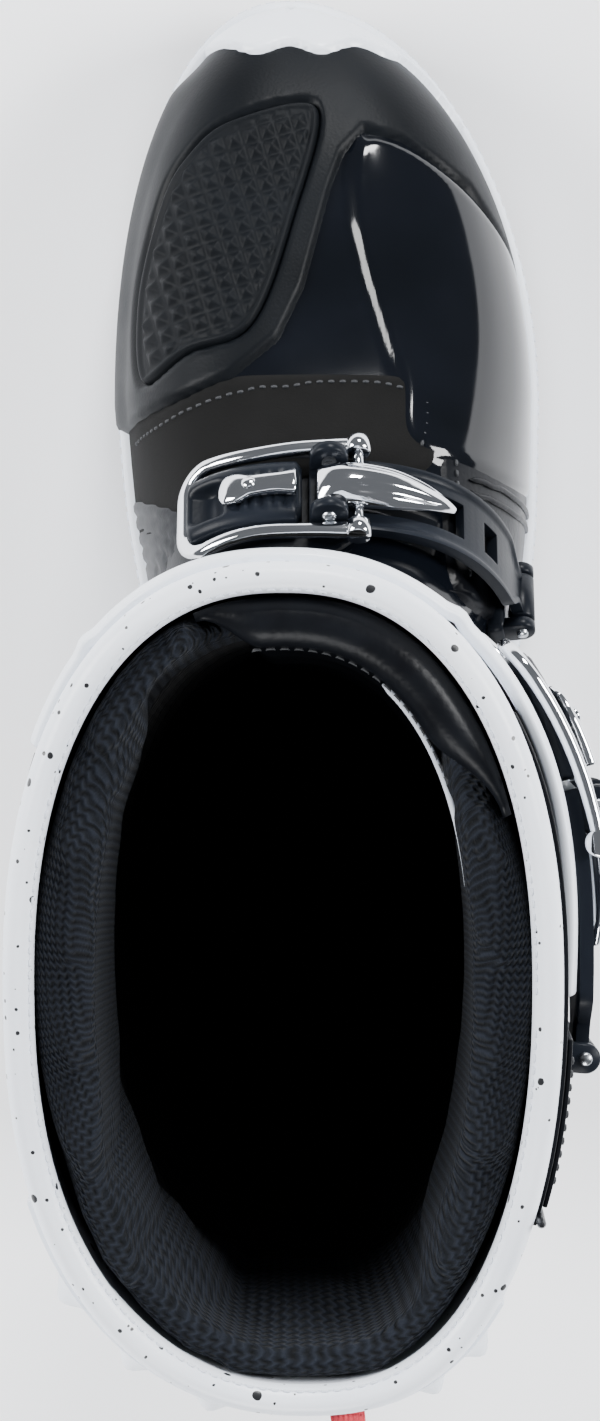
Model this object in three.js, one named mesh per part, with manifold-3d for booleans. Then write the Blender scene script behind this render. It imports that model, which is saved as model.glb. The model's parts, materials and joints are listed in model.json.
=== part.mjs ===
// Off-road motorcycle boot, right foot, four buckles, built as an assembly of separate solids.
// Millimetres, +Z up, +Y towards the toe, +X towards the outer (lateral) side of the foot.
// The foot and the leg are two smooth forms. Every shell, panel and plate is a layer between two
// offsets of a form, so the layers nest and a changed size carries all that is fixed to it.
import * as THREE from "three";
import Module from "manifold-3d";

// ---------- driving dimensions ----------
const soleLength = 315.4; // heel to toe
const ballAt = 200; // widest place of the foot, from the heel
const ballInner = 48.6; // from the middle line to the inner edge of the sole, at the ball
const ballOuter = 72.6; // and to the outer edge
const toeX = 1; // the toe's tip lies well to the inner side of the ball's middle
const heelX = 2.5; // middle of the heel
const heelHalfWidth = 41;
const heelRound = 38; // length of the round end of the heel
const outsoleThick = 8.7;
const treadDepth = 3;
const treadPitch = 17;
const treadGap = 4;
const randTop = 26; // top edge of the white rand round the shell
const shellFloor = 20; // the shell stands on the midsole here
const toeSpring = 9; // how far the toe's tip lifts off the ground
const toeSpringBack = 90.4; // and how far back from the tip the lift begins
const shellWall = 3;
const liningWall = 3;
const fit = 0.4; // gap between two pieces that lie on each other
const randLip = 4; // the sole stands out past the shell by this much
const toeGuardTop = 41;
const toeGuardBack = 23.4; // the toe guard covers this much of the tip

const collarFrontZ = 380; // height of the boot at the shin
const mouthDrop = 35; // the mouth is this much lower at the calf
const collarBackZ = collarFrontZ - mouthDrop;
const collarDepth = 32;
const collarWall = 5;
const padTop = 14; // the padded lining stands in this far at the mouth
const padLow = 9;
const plateWall = 3.4; // shin plate
const calfWall = 4;
const panelWall = 3;
const flapOut = 2.4; // the closure flap stands out by this much
const wingStandOff = 2.4; // the shin plate's outer wing stands clear of the closure flap

const pivotY = 70; // ankle pivot
const pivotZ = 98;
const pivotShank = 6;
const pivotHead = 10;
const pivotGap = 0.35;
const pivotPlateIn = 1.2;
const pivotPlateWall = 3.8;
const pivotDisc = 17;
const sideArmTopZ = 171;

const ankleBuckleZ = 192;
const calfBuckleDown = 76; // the top buckle sits this far below the mouth
const calfBuckleZ = collarFrontZ - calfBuckleDown;

const armThick = 3.4;
const armHalf = 11.8;
const armLift = 1; // the strap arm runs this far above what it crosses
const leverPinT = 8.5; // height of the lever's pin above the plate
const leverPinR = 2;
const hingePinR = 1.6;
const pinGap = 0.3;
const bailBar = 4; // width of the bail's bar
const bailThick = 3.6;
const bailHalf = armHalf + 0.6 + bailBar / 2; // from the middle to the centre of one leg
const bailReach = 39.3; // from the lever's pin to the centre of the closed end
const eccentric = 7.5; // the bail turns on the lever this far from the lever's pin
const eccentricDrop = 1.4;
const trunnionR = 1.5;
const leverLength = 33;
const catchHalf = 10.2;
const catchTall = 7;
const catchNear = 7.2; // near and far ends of the catch block, from the lever's pin
const catchFar = 38;

const slack = 0.03; // corners that move the surface by less than this are dropped

const wasm = await Module();
wasm.setup();

// ---------- number helpers ----------
const rad = THREE.MathUtils.degToRad;
const smooth = (x, from, to) => {
  const u = THREE.MathUtils.clamp((x - from) / (to - from), 0, 1);
  return u * u * (3 - 2 * u);
};
const power = (x, e) => Math.sign(x) * Math.abs(x) ** e;
const range = (n) => Array.from({ length: n }, (_, i) => i);
const steps = (from, to, n) => range(n + 1).map((i) => from + ((to - from) * i) / n);

// Smooth monotone curve through [x, y] points (a cubic with limited slopes).
function through(points) {
  const n = points.length;
  const h = range(n - 1).map((i) => points[i + 1][0] - points[i][0]);
  const d = range(n - 1).map((i) => (points[i + 1][1] - points[i][1]) / h[i]);
  const slope = range(n).map((i) => {
    if (i === 0) return d[0];
    if (i === n - 1) return d[n - 2];
    if (d[i - 1] * d[i] <= 0) return 0;
    const w1 = 2 * h[i] + h[i - 1];
    const w2 = h[i] + 2 * h[i - 1];
    return (w1 + w2) / (w1 / d[i - 1] + w2 / d[i]);
  });
  return (x) => {
    let i = 0;
    while (i < n - 2 && x > points[i + 1][0]) i += 1;
    const t = THREE.MathUtils.clamp((x - points[i][0]) / h[i], 0, 1);
    const t2 = t * t;
    const t3 = t2 * t;
    return (2 * t3 - 3 * t2 + 1) * points[i][1] + (t3 - 2 * t2 + t) * h[i] * slope[i]
      + (3 * t2 - 2 * t3) * points[i + 1][1] + (t3 - t2) * h[i] * slope[i + 1];
  };
}

// ---------- solid helpers ----------
function toSolid(geometry) {
  const made = new wasm.Manifold(new wasm.Mesh({
    numProp: 3,
    vertProperties: geometry.getAttribute("position").array,
    triVerts: new Uint32Array(geometry.index.array),
  }));
  return made;
}

function toGeometry(solid) {
  const mesh = solid.simplify(slack).getMesh();
  const positions = new Float32Array(mesh.numVert * 3);
  for (let i = 0; i < mesh.numVert; i += 1) {
    positions.set(mesh.vertProperties.subarray(i * mesh.numProp, i * mesh.numProp + 3), i * 3);
  }
  const geometry = new THREE.BufferGeometry();
  geometry.setAttribute("position", new THREE.BufferAttribute(positions, 3));
  geometry.setIndex(new THREE.BufferAttribute(mesh.triVerts, 1));
  geometry.computeVertexNormals();
  return geometry;
}

// Closed solid from points and triangles, turned so that its faces point out.
function closedSolid(points, triangles) {
  let volume = 0;
  for (const [a, b, c] of triangles) volume += points[a].dot(points[b].clone().cross(points[c]));
  const index = triangles.flatMap(([a, b, c]) => (volume > 0 ? [a, b, c] : [a, c, b]));
  const geometry = new THREE.BufferGeometry();
  geometry.setAttribute("position", new THREE.Float32BufferAttribute(points.flatMap((p) => p.toArray()), 3));
  geometry.setIndex(index);
  return toSolid(geometry);
}

// Closes both ends of a loft with a zigzag from one side of the ring to the other.
function capEnds(triangles, n, count) {
  for (const [base, turn] of [[0, true], [(count - 1) * n, false]]) {
    const add = (a, b, c) => triangles.push(turn ? [base + c, base + b, base + a] : [base + a, base + b, base + c]);
    let low = 0;
    let high = n - 1;
    while (high - low > 1) {
      add(low, low + 1, high);
      low += 1;
      if (high - low > 1) add(low, high - 1, high);
      high -= 1;
    }
  }
}

// Rings of points, each joined to the next; flat caps at both ends unless the loft closes on itself.
function loft(rings, endless = false) {
  const n = rings[0].length;
  const points = rings.flat();
  const triangles = [];
  const last = endless ? rings.length : rings.length - 1;
  for (let i = 0; i < last; i += 1) {
    const here = i * n;
    const next = ((i + 1) % rings.length) * n;
    for (let k = 0; k < n; k += 1) {
      const m = (k + 1) % n;
      triangles.push([here + k, here + m, next + m], [here + k, next + m, next + k]);
    }
  }
  if (!endless) capEnds(triangles, n, rings.length);
  return closedSolid(points, triangles);
}

// Outline in two axes, raised along the third. `place` turns (u, v, w) into a point.
function prism(outline, low, high, place) {
  const shape = new THREE.Shape(outline.map(([u, v]) => new THREE.Vector2(u, v)));
  const flat = new THREE.ExtrudeGeometry(shape, { depth: high - low, bevelEnabled: false });
  const position = flat.getAttribute("position");
  const seen = new Map();
  const points = [];
  const ids = range(position.count).map((i) => {
    const key = [position.getX(i), position.getY(i), position.getZ(i)].map((v) => v.toFixed(4)).join();
    if (!seen.has(key)) {
      seen.set(key, points.length);
      points.push(place(position.getX(i), position.getY(i), position.getZ(i) + low));
    }
    return seen.get(key);
  });
  const triangles = [];
  for (let i = 0; i < ids.length; i += 3) triangles.push([ids[i], ids[i + 1], ids[i + 2]]);
  return closedSolid(points, triangles);
}

const upright = (x, y, z) => new THREE.Vector3(x, y, z);
const sideways = (y, z, x) => new THREE.Vector3(x, y, z);
const roundOutline = (points, samples) => new THREE.SplineCurve(
  [...points, points[0]].map(([x, y]) => new THREE.Vector2(x, y)),
).getPoints(samples).slice(0, -1).map((p) => [p.x, p.y]);

// Round bar along any axis.
function bar(centre, axis, radius, half, sides = 10) {
  const turn = new THREE.Quaternion().setFromUnitVectors(new THREE.Vector3(0, 0, 1), axis.clone().normalize());
  const ring = (w) => range(sides).map((k) => {
    const a = (2 * Math.PI * (k + 0.5)) / sides;
    return new THREE.Vector3(radius * Math.cos(a), radius * Math.sin(a), w).applyQuaternion(turn).add(centre);
  });
  return loft([ring(-half), ring(half)]);
}

// ---------- the foot's form ----------
const waistInner = through([[heelRound, heelHalfWidth - heelX], [75, 37.5], [110, 37.5], [140, 40.8], [170, 45.8],
  [ballAt, ballInner]]);
const waistOuter = through([[heelRound, heelHalfWidth + heelX], [75, 47.5], [110, 60.5], [140, 69], [170, 72],
  [ballAt, ballOuter]]);
const toeRoundInner = 2.2;
const toeRoundOuter = 1.95;
const toeInset = 1.6; // the toe's tip moves back by this many times an inset at the sides

// Left and right edge of the sole's outline at y, drawn in by `inset`.
function edges(y, inset) {
  if (y < heelRound) {
    const u = Math.min(1, (heelRound - y) / (heelRound - inset));
    const half = (heelHalfWidth - inset) * Math.sqrt(1 - u * u);
    return [heelX - half, heelX + half];
  }
  if (y <= ballAt) return [inset - waistInner(y), waistOuter(y) - inset];
  const u = Math.min(1, (y - ballAt) / (soleLength - ballAt - inset * toeInset));
  return [
    toeX - (ballInner + toeX - inset) * (1 - u ** toeRoundInner) ** (1 / toeRoundInner),
    toeX + (ballOuter - toeX - inset) * (1 - u ** toeRoundOuter) ** (1 / toeRoundOuter),
  ];
}

const lift = (y) => toeSpring * (Math.max(0, y - soleLength + toeSpringBack) / toeSpringBack) ** 2;

// Stations along the foot, close together at the round ends.
function stations(from, to, middle = 9) {
  const heel = from < heelRound ? [0.004, 0.06, 0.2, 0.5].map((u) => from + (heelRound - from) * u) : [];
  const toe = [0.28, 0.5, 0.68, 0.82, 0.92, 0.975, 0.997].map((u) => ballAt + (to - ballAt) * u);
  const start = Math.max(from, heelRound);
  return [...heel, ...steps(start, ballAt + 8, middle), ...toe];
}

// A slab of the sole between two heights.
function soleSlab(inset, low, high) {
  const tip = soleLength - inset * toeInset;
  return loft(stations(inset, tip).map((y) => {
    const [left, right] = edges(y, inset);
    const up = lift(y);
    return [
      new THREE.Vector3(left, y, low + up), new THREE.Vector3(right, y, low + up),
      new THREE.Vector3(right, y, high + up), new THREE.Vector3(left, y, high + up),
    ];
  }));
}

const footFrom = 60;
const footHeight = through([[footFrom, 64], [100, 106], [125, 124], [138, 125], [150, 119], [170, 105.5],
  [190, 93], [210, 83.5], [soleLength - 75.4, 74], [soleLength - 50.4, 65], [soleLength - 30.4, 54],
  [soleLength - 17.4, 43.5], [soleLength - 9.4, 34.5], [soleLength, 23]]);
const footRidge = through([[footFrom, 3], [150, 6], [200, 8.5], [250, 6], [soleLength, toeX]]);
const footSide = through([[footFrom, 0.8], [150, 0.78], [200, 0.66], [260, 0.6], [soleLength, 0.7]]);
const footRoof = through([[footFrom, 0.9], [150, 0.95], [200, 0.85], [260, 0.72], [soleLength, 0.8]]);

// One section of the foot, as a ring: an arch over a flat bottom.
function footRing(y, off, bottom) {
  const arch = off < 0 ? 13 : 18;
  const [left, right] = edges(y, randLip - off);
  const ridge = footRidge(y);
  const tall = footHeight(y) - shellFloor + off;
  const up = lift(y);
  const start = Math.asin(THREE.MathUtils.clamp((bottom - shellFloor) / tall, 0, 0.95) ** (1 / footRoof(y)));
  const upper = steps(start, Math.PI - start, arch).map((a) => {
    const c = power(Math.cos(a), footSide(y));
    const reach = c > 0 ? right - ridge : ridge - left;
    return new THREE.Vector3(ridge + reach * c, y, shellFloor + tall * Math.max(0, Math.sin(a)) ** footRoof(y) + up);
  });
  const foot = [upper[arch], upper[0]].map((p) => new THREE.Vector3(p.x, y, Math.min(bottom, p.z - up) - 0.01 + up));
  return [...upper, ...foot];
}

function forefoot(off, bottom) {
  const tip = soleLength - (randLip - off) * toeInset;
  return loft(stations(footFrom - off, tip, 7).map((y) => footRing(y, off, bottom)));
}

// Is a point inside the foot's form?
function inFoot(p, off) {
  if (p.y < footFrom || p.y > soleLength) return false;
  const [left, right] = edges(p.y, randLip - off);
  const ridge = footRidge(p.y);
  const u = p.x > ridge ? (p.x - ridge) / (right - ridge) : (ridge - p.x) / (ridge - left);
  if (u >= 1) return false;
  const c = u ** (1 / footSide(p.y));
  const tall = footHeight(p.y) - shellFloor + off;
  return p.z - lift(p.y) < shellFloor + tall * Math.sqrt(1 - c * c) ** footRoof(p.y);
}

// ---------- the leg's form ----------
const legSquare = 2.3; // 2 is an ellipse, more is squarer
const calfBulge = 5;
const legMiddleX = through([[20, 2.5], [60, 3], [110, 4.5], [140, 4.5], [180, 4], [240, 3], [collarFrontZ - 80, 1.5],
  [collarFrontZ - 35, 0.3], [collarFrontZ, 0]]);
const legMiddleY = through([[20, 57], [60, 62], [110, 76], [140, 72], [180, 66], [240, 59], [collarFrontZ - 80, 52],
  [collarFrontZ - 35, 47.5], [collarFrontZ, 46.5]]);
const legHalfX = through([[20, 37], [60, 41], [110, 45], [140, 46],
  [180, 49.5], [240, 55], [collarFrontZ - 80, 60.5], [collarFrontZ - 35, 63], [collarFrontZ, 63]]);
const legHalfY = through([[20, 53], [60, 60], [110, 66], [140, 68], [180, 72], [240, 82], [collarFrontZ - 80, 92],
  [collarFrontZ - 35, 98], [collarFrontZ, 98]]);

// The calf's bulge lies to the outer side, more so higher up.
const calfSkew = (back, z) => calfBulge * smooth(z, 110, collarBackZ) * Math.max(0, -back) ** 3;

// Point of the leg's surface: angle 0 is the outer side, 90 the shin and -90 the calf.
function legPoint(angle, z, off) {
  const a = rad(angle);
  return new THREE.Vector3(
    legMiddleX(z) + calfSkew(Math.sin(a), z) + (legHalfX(z) + off) * power(Math.cos(a), 2 / legSquare),
    legMiddleY(z) + (legHalfY(z) + off) * power(Math.sin(a), 2 / legSquare),
    z,
  );
}

function legAngle(p) {
  return THREE.MathUtils.radToDeg(Math.atan2(
    power((p.y - legMiddleY(p.z)) / legHalfY(p.z), legSquare / 2),
    power((p.x - legMiddleX(p.z)) / legHalfX(p.z), legSquare / 2),
  ));
}

function inLeg(p, off) {
  const v = Math.abs(p.y - legMiddleY(p.z)) / (legHalfY(p.z) + off);
  const back = p.y < legMiddleY(p.z) ? -(Math.min(1, v) ** (legSquare / 2)) : 0;
  const u = Math.abs(p.x - legMiddleX(p.z) - calfSkew(back, p.z)) / (legHalfX(p.z) + off);
  return u ** legSquare + v ** legSquare < 1;
}

// Every layer of the leg has its corners at the same angles, so that two neighbours stay apart all round.
const legTurn = 10;
const legHeights = [20, 45, 72, 92, 106, 120, 138, 160, ...range(9).map((i) => 190 + 37 * i)];

// Solid leg between two heights.
function legSolid(off, low, high, turn = legTurn) {
  const heights = [low, ...legHeights.filter((z) => z > low + 5 && z < high - 5), high];
  return loft(heights.map((z) => range(360 / turn).map((k) => legPoint(turn * k, z, off))));
}

// A layer of the leg: between offsets `inner` and `outer`, from `low` to `high`, over the angles `from` to `to`.
// Each of the four may be a number or a function of the angle; the offsets may also read the share of the height.
// The rows of corners are at the heights that all layers share, or at `shares` of the layer's own height.
const value = (v, ...args) => (typeof v === "function" ? v(...args) : v);
const tiny = 0.02; // rows that fall outside a layer close up to its edge, this far apart

function legLayer({ inner, outer, low, high, from = 0, to = 360, shares }) {
  const endless = to - from >= 360;
  const corners = range(73).map((k) => legTurn * (k - 36)).filter((a) => a > from + 1 && a < to - 1);
  const angles = endless ? range(360 / legTurn).map((k) => legTurn * k) : [from, ...corners, to];
  const lowest = Math.min(...angles.map((a) => value(low, a)));
  const highest = Math.max(...angles.map((a) => value(high, a)));
  const between = legHeights.filter((z) => z > lowest && z < highest);
  return loft(angles.map((angle) => {
    const z0 = value(low, angle);
    const z1 = value(high, angle);
    const rise = shares ?? [0, ...between.map((z, i) => (THREE.MathUtils.clamp(
      z, z0 + tiny * (i + 1), z1 - tiny * (between.length - i)) - z0) / (z1 - z0)), 1];
    return [
      ...rise.map((u) => legPoint(angle, z0 + (z1 - z0) * u, value(outer, angle, u))),
      ...[...rise].reverse().map((u) => legPoint(angle, z0 + (z1 - z0) * u, value(inner, angle, u))),
    ];
  }), endless);
}

// ---------- lines that several pieces share ----------
const mouthZ = (y) => collarBackZ + ((y + 45) * (collarFrontZ - collarBackZ)) / 190;
const mouthAt = (angle) => {
  let z = collarFrontZ;
  for (let i = 0; i < 6; i += 1) z = mouthZ(legPoint(angle, z, 0).y);
  return z;
};
const ankleLine = (y) => 98.4 + 0.163 * y; // top rim of the foot's shell
const cuffLine = through([[-20, 116], [20, 116], [70, 126], [118, 146], [145, 153]]); // lower rim of the leg's shell
const cuffAt = (angle) => {
  let z = 130;
  for (let i = 0; i < 6; i += 1) z = cuffLine(legPoint(angle, z, 0).y);
  return z;
};
const wing = (angle) => wingStandOff * smooth(angle, 70, 20);
const shinIn = (angle) => fit + 0.2 + wing(angle);
const shinOut = (angle) => shinIn(angle) + plateWall;

// ---------- the foot's pieces ----------
const below = (zAt) => prism([[-80, -300], [420, -300], [420, zAt(420)], [-80, zAt(-80)]], -200, 200, sideways);

function footUnion(off, bottom) {
  return forefoot(off, bottom).add(legSolid(off, bottom, 128));
}

function pivotBar(radius) {
  return bar(new THREE.Vector3(0, pivotY, pivotZ), new THREE.Vector3(1, 0, 0), radius, 90, 20);
}

function outsole() {
  let made = soleSlab(1, 0, outsoleThick);
  const cuts = Math.floor((soleLength - 2 * treadPitch) / treadPitch);
  range(cuts).forEach((i) => {
    const y = treadPitch * (i + 1);
    const groove = prism([[y, -20], [y + treadGap, -20], [y + treadGap, treadDepth + lift(y)],
      [y, treadDepth + lift(y)]], -200, 200, sideways);
    const isWaist = y > 78 && y < 125;
    if (!isWaist) made = made.subtract(groove);
  });
  return made;
}

const shankOutline = [[-14, 50], [20, 50], [24, 110], [34, 170], [-20, 170], [-16, 110]];
const shankTop = shellFloor - 0.9;
const shankThick = 1.5;

function midsole() {
  const pocket = prism(shankOutline.map(([x, y]) => [x * 1.05, y < 110 ? y - 1 : y + 1]), shankTop - shankThick - 0.3,
    shellFloor + 5, upright);
  return soleSlab(0, outsoleThick + 0.3, randTop)
    .subtract(footUnion(fit, shellFloor - 0.3))
    .subtract(pocket);
}

const shank = () => prism(shankOutline, shankTop - shankThick, shankTop, upright);

function toeGuard() {
  const ahead = backFromToe([[-100, toeGuardBack], [100, toeGuardBack], [100, -100], [-100, -100]]);
  const front = prism(ahead, -10, 100, upright);
  return soleSlab(0.3, randTop + 0.3, toeGuardTop - toeSpring)
    .subtract(forefoot(overlayOut + fit, shellFloor - 8))
    .intersect(front);
}

function shell() {
  const inside = footUnion(-shellWall, shellFloor - 4).add(legSolid(-shellWall, 60, 150));
  return footUnion(0, shellFloor)
    .intersect(below(ankleLine))
    .subtract(inside)
    .subtract(pivotBar(pivotShank + pivotGap));
}

const boardTop = shellFloor + 2.5;
const footbedTop = boardTop + 5.5;
function innerSole(low, high, inset) {
  return soleSlab(inset, low, high).intersect(footUnion(-shellWall - fit, low - 2));
}

function footLining() {
  const outer = -shellWall - fit - 0.5;
  const inside = footUnion(outer - liningWall, footbedTop - 8).add(legSolid(outer - liningWall, 60, 150));
  return footUnion(outer, footbedTop + fit)
    .intersect(below((y) => ankleLine(y) - 10))
    .subtract(inside);
}

// Outlines seen from above, for the pieces that lie on the vamp: x, and how far back from the toe's tip.
const backFromToe = (points) => points.map(([x, back]) => [x, soleLength - back]);
const padOutline = backFromToe([
  [-27, 46.4], [-12, 37.4], [4.5, 33.9], [-2, 65.4], [-12.5, 96.4], [-30, 104.4], [-43.4, 112.4],
  [-45, 88.4], [-38, 60.4]
]);
const overlayInner = backFromToe([
  [-70, 116.4], [-49, 116.4], [-20, 108.9], [-5, 102.4], [4, 69.4], [8.5, 47.4], [14, 41.4],
  [28, 44.4], [39, 55.4], [48, 69.4], [56.5, 87.4], [63, 111.4], [90, 111.4], [90, -24.6],
  [-70, -24.6]
]);
const overlayOut = 2.4;
const padOut = 3;
const padGap = 0.8;

function vampLayer(inner, outer, low) {
  return forefoot(outer, low).subtract(forefoot(inner, low - 8));
}

function grown(outline, by) {
  const middle = outline.reduce((s, [x, y]) => [s[0] + x / outline.length, s[1] + y / outline.length], [0, 0]);
  return outline.map(([x, y]) => {
    const d = Math.hypot(x - middle[0], y - middle[1]);
    return [x + ((x - middle[0]) * by) / d, y + ((y - middle[1]) * by) / d];
  });
}

function shiftOverlay() {
  return vampLayer(fit, overlayOut, randTop + 0.4)
    .intersect(prism(overlayInner, 0, 200, upright))
    .subtract(prism(roundOutline(grown(padOutline, padGap), 36), 0, 200, upright));
}

function shiftPad() {
  return vampLayer(fit, padOut, randTop + 1).intersect(prism(roundOutline(padOutline, 36), 0, 200, upright));
}

function instepPanel() {
  const outline = [[-80, 176], [-30, 184], [10, 190], [48, 186], [60, 176], [60, 188], [44, 203], [20, 208],
    [-5, 205], [-28, 197], [-48, 186], [-80, 182]];
  return vampLayer(fit, fit + 1.4, 40).intersect(prism(roundOutline(outline, 48), 0, 200, upright));
}

function heelCounter() {
  return legLayer({ inner: fit, outer: 3, low: randTop + 0.4, high: (a) => ankleLine(legPoint(a, 95, 0).y) - 6,
    from: -160, to: -20 });
}

// ---------- the leg's pieces ----------
const gaiterShell = () => legLayer({ inner: -shellWall, outer: 0, low: cuffAt,
  high: (a) => mouthAt(a) - collarDepth - 0.3 });

const collar = () => legLayer({ inner: -collarWall, outer: (a, u) => (u > 0.9 ? -1.5 : 0),
  low: (a) => mouthAt(a) - collarDepth, high: mouthAt, shares: [0, 0.45, 0.88, 1] });

const cuffLining = () => legLayer({ inner: (a, u) => -padLow - (padTop - padLow) * smooth(u, 0.6, 0.9),
  outer: -collarWall - fit, low: (a) => cuffAt(a) + 18, high: (a) => mouthAt(a) - 2,
  shares: [0, 0.3, 0.6, 0.75, 0.9, 1] });

const tonguePad = () => legLayer({ inner: -padTop - 6.4, outer: -padTop - fit, low: 190, high: (a) => mouthAt(a) - 5,
  from: 58, to: 122 });

function ankleBellows() {
  const outer = -shellWall - 0.5;
  return legLayer({ inner: outer - 2.4, outer, low: (a) => ankleLine(legPoint(a, 105, 0).y) - 7,
    high: (a) => cuffAt(a) + 16, shares: steps(0, 1, 3) });
}

const shinTop = (angle) => mouthAt(angle) - 8 - 37 * (1 - Math.cos(rad((angle - 90) * 0.95)));
const shinPlate = () => legLayer({ inner: shinIn, outer: shinOut, low: sideArmTopZ + 1.5, high: shinTop,
  from: -2, to: 150 });

const calfOuter = (a, u) => fit + calfWall * smooth(1 - Math.abs(2 * u - 1), -0.4, 0.4);
const calfPlate = () => legLayer({ inner: fit + 0.1, outer: calfOuter,
  low: (a) => cuffAt(a) + 5, high: (a) => mouthAt(a) - 10, from: -154, to: -44 });

const medialPanel = () => legLayer({ inner: fit, outer: fit + panelWall, low: sideArmTopZ + 1.5,
  high: (a) => mouthAt(a) - 44, from: 151, to: 205 });

const lateralPanel = () => legLayer({ inner: fit, outer: fit + panelWall, low: sideArmTopZ + 1.5, high: calfBuckleZ - 18,
  from: -43, to: -3 });

const closureFlap = () => legLayer({ inner: fit, outer: (a) => Math.min(flapOut, shinIn(Math.max(a, -2)) - fit - 0.3),
  low: calfBuckleZ - 16, high: (a) => mouthAt(a) - 12, from: -30, to: 38 });

const pullTab = () => legLayer({ inner: fit + calfWall + 0.4, outer: fit + calfWall + 3.4,
  low: (a) => mouthAt(a) - 44, high: (a) => mouthAt(a) - 20, from: -88.5, to: -80 });

function sideArm(side) {
  const waist = 11;
  const outline = [
    ...steps(200, 340, 10).map((a) => [pivotY + pivotDisc * Math.cos(rad(a)), pivotZ + pivotDisc * Math.sin(rad(a))]),
    [pivotY + waist, pivotZ + 22], [pivotY + waist + 3, sideArmTopZ - 14], [pivotY + waist - 2, sideArmTopZ],
    [pivotY - waist + 2, sideArmTopZ], [pivotY - waist - 3, sideArmTopZ - 14], [pivotY - waist, pivotZ + 22],
  ];
  const block = side > 0 ? prism(outline, 20, 90, sideways) : prism(outline, -90, -20, sideways);
  return legSolid(pivotPlateIn + pivotPlateWall, 60, 180)
    .subtract(legSolid(pivotPlateIn, 50, 190))
    .intersect(block)
    .subtract(pivotBar(pivotShank + pivotGap));
}

function pivotScrew(side) {
  const surface = legPoint(side > 0 ? -8 : 188, pivotZ, 0);
  const face = Math.abs(surface.x) + pivotPlateIn + pivotPlateWall + 1.6;
  const across = new THREE.Vector3(1, 0, 0);
  const at = (x) => new THREE.Vector3(side * x, pivotY, pivotZ);
  const shankHalf = (face - Math.abs(surface.x) + 1.2) / 2;
  return bar(at(face - shankHalf), across, pivotShank, shankHalf, 20)
    .add(bar(at(face + 1.2), across, pivotHead, 1.5, 20));
}

// ---------- buckles ----------
// A buckle's track is the curve that its strap follows over the boot: s runs along it, y across it and t away
// from the boot, with s = 0 at the lever's pin. `inside` says what lies within the boot.
function makeTrack({ centre, across, out, inside, start, from, to }) {
  const point = (angle) => {
    const way = across.clone().multiplyScalar(Math.cos(rad(angle))).addScaledVector(out, Math.sin(rad(angle)));
    let near = 5;
    let far = 160;
    for (let i = 0; i < 26; i += 1) {
      const half = (near + far) / 2;
      if (inside(centre.clone().addScaledVector(way, half))) near = half;
      else far = half;
    }
    return centre.clone().addScaledVector(way, near);
  };
  const pitch = 3;
  const angles = steps(from, to, Math.round(Math.abs(from - to) / pitch));
  const raw = angles.map(point);
  const points = raw.map((p, i) => (i && i < raw.length - 1
    ? p.clone().multiplyScalar(0.5).addScaledVector(raw[i - 1], 0.25).addScaledVector(raw[i + 1], 0.25) : p));
  const lengths = [0];
  points.slice(1).forEach((p, i) => lengths.push(lengths[i] + p.distanceTo(points[i])));
  const zero = lengths[angles.reduce((best, a, i) => (Math.abs(a - start) < Math.abs(angles[best] - start) ? i : best), 0)];
  const side = out.clone().cross(across).normalize();
  const place = (s) => {
    let i = 0;
    while (i < lengths.length - 2 && s + zero > lengths[i + 1]) i += 1;
    const u = (s + zero - lengths[i]) / (lengths[i + 1] - lengths[i]);
    return points[i].clone().lerp(points[i + 1], u);
  };
  const frame = (s) => {
    const along = place(s + 4).sub(place(s - 4)).normalize();
    return { at: place(s), along, side, out: along.clone().cross(side).normalize() };
  };
  const wrap = (s, y, t) => {
    const f = frame(s);
    return f.at.addScaledVector(f.side, y).addScaledVector(f.out, t);
  };
  return { frame, wrap, side };
}

// On the leg the track's plane stands square to the surface, which leans outwards as it rises.
const legTrack = (z) => {
  const up = legPoint(12, z + 10, 0).sub(legPoint(12, z - 10, 0)).normalize();
  const out = new THREE.Vector3(0, 1, 0).addScaledVector(up, -up.y).normalize();
  return makeTrack({
  centre: new THREE.Vector3(legMiddleX(z), legMiddleY(z), z),
  across: out.clone().cross(up),
  out,
  inside: (p) => inLeg(p, shinOut(Math.max(-2, legAngle(p)))),
  start: 30,
  from: 120,
  to: -90,
  });
};

const instepSlope = 36; // degrees below level, along the foot
const instepY = 167;
const saddleWall = 2.2;
const saddleLift = 3.4;
const instepTrack = () => {
  const out = new THREE.Vector3(0, Math.sin(rad(instepSlope)), Math.cos(rad(instepSlope)));
  return makeTrack({
    centre: new THREE.Vector3(4, instepY, footHeight(instepY)).addScaledVector(out, -46),
    across: new THREE.Vector3(1, 0, 0),
    out,
    inside: (p) => inFoot(p, saddleLift) || (p.z < 126 && inLeg(p, saddleLift)),
    start: 81,
    from: 186,
    to: -30,
  });
};

// A strip along the track: half-width and the two heights at each s.
function strip(track, rows) {
  return loft(rows.map(([s, half, low, high, middle = 0]) => [
    track.wrap(s, middle - half, low), track.wrap(s, middle + half, low),
    track.wrap(s, middle + half, high), track.wrap(s, middle - half, high),
  ]));
}

const even = (from, to, half, low, high, n, middle = 0) => steps(from, to, n).map((s) => [s, half, low, high, middle]);
const pinAt = (track, s, t, radius, half, sides = 10) => bar(track.wrap(s, 0, t), track.side, radius, half, sides);

const cheekIn = 7.8;
const cheekR = 5.2;
const hingeT = 3.5;
const barrelR = 3.6;
const barrelHalf = 7.3;

// A lug that stands up to a pin: round on top, straight sides down to `low`.
function cheek(track, s, t, radius, from, to, low) {
  const f = track.frame(s);
  const at = track.wrap(s, 0, t);
  const outline = [...steps(0, 180, 6).map((a) => [radius * Math.cos(rad(a)), radius * Math.sin(rad(a))]),
    [-radius, low - t], [radius, low - t]];
  return prism(outline, from, to, (u, v, w) => at.clone().addScaledVector(f.along, u)
    .addScaledVector(f.out, v).addScaledVector(f.side, w));
}

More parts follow.
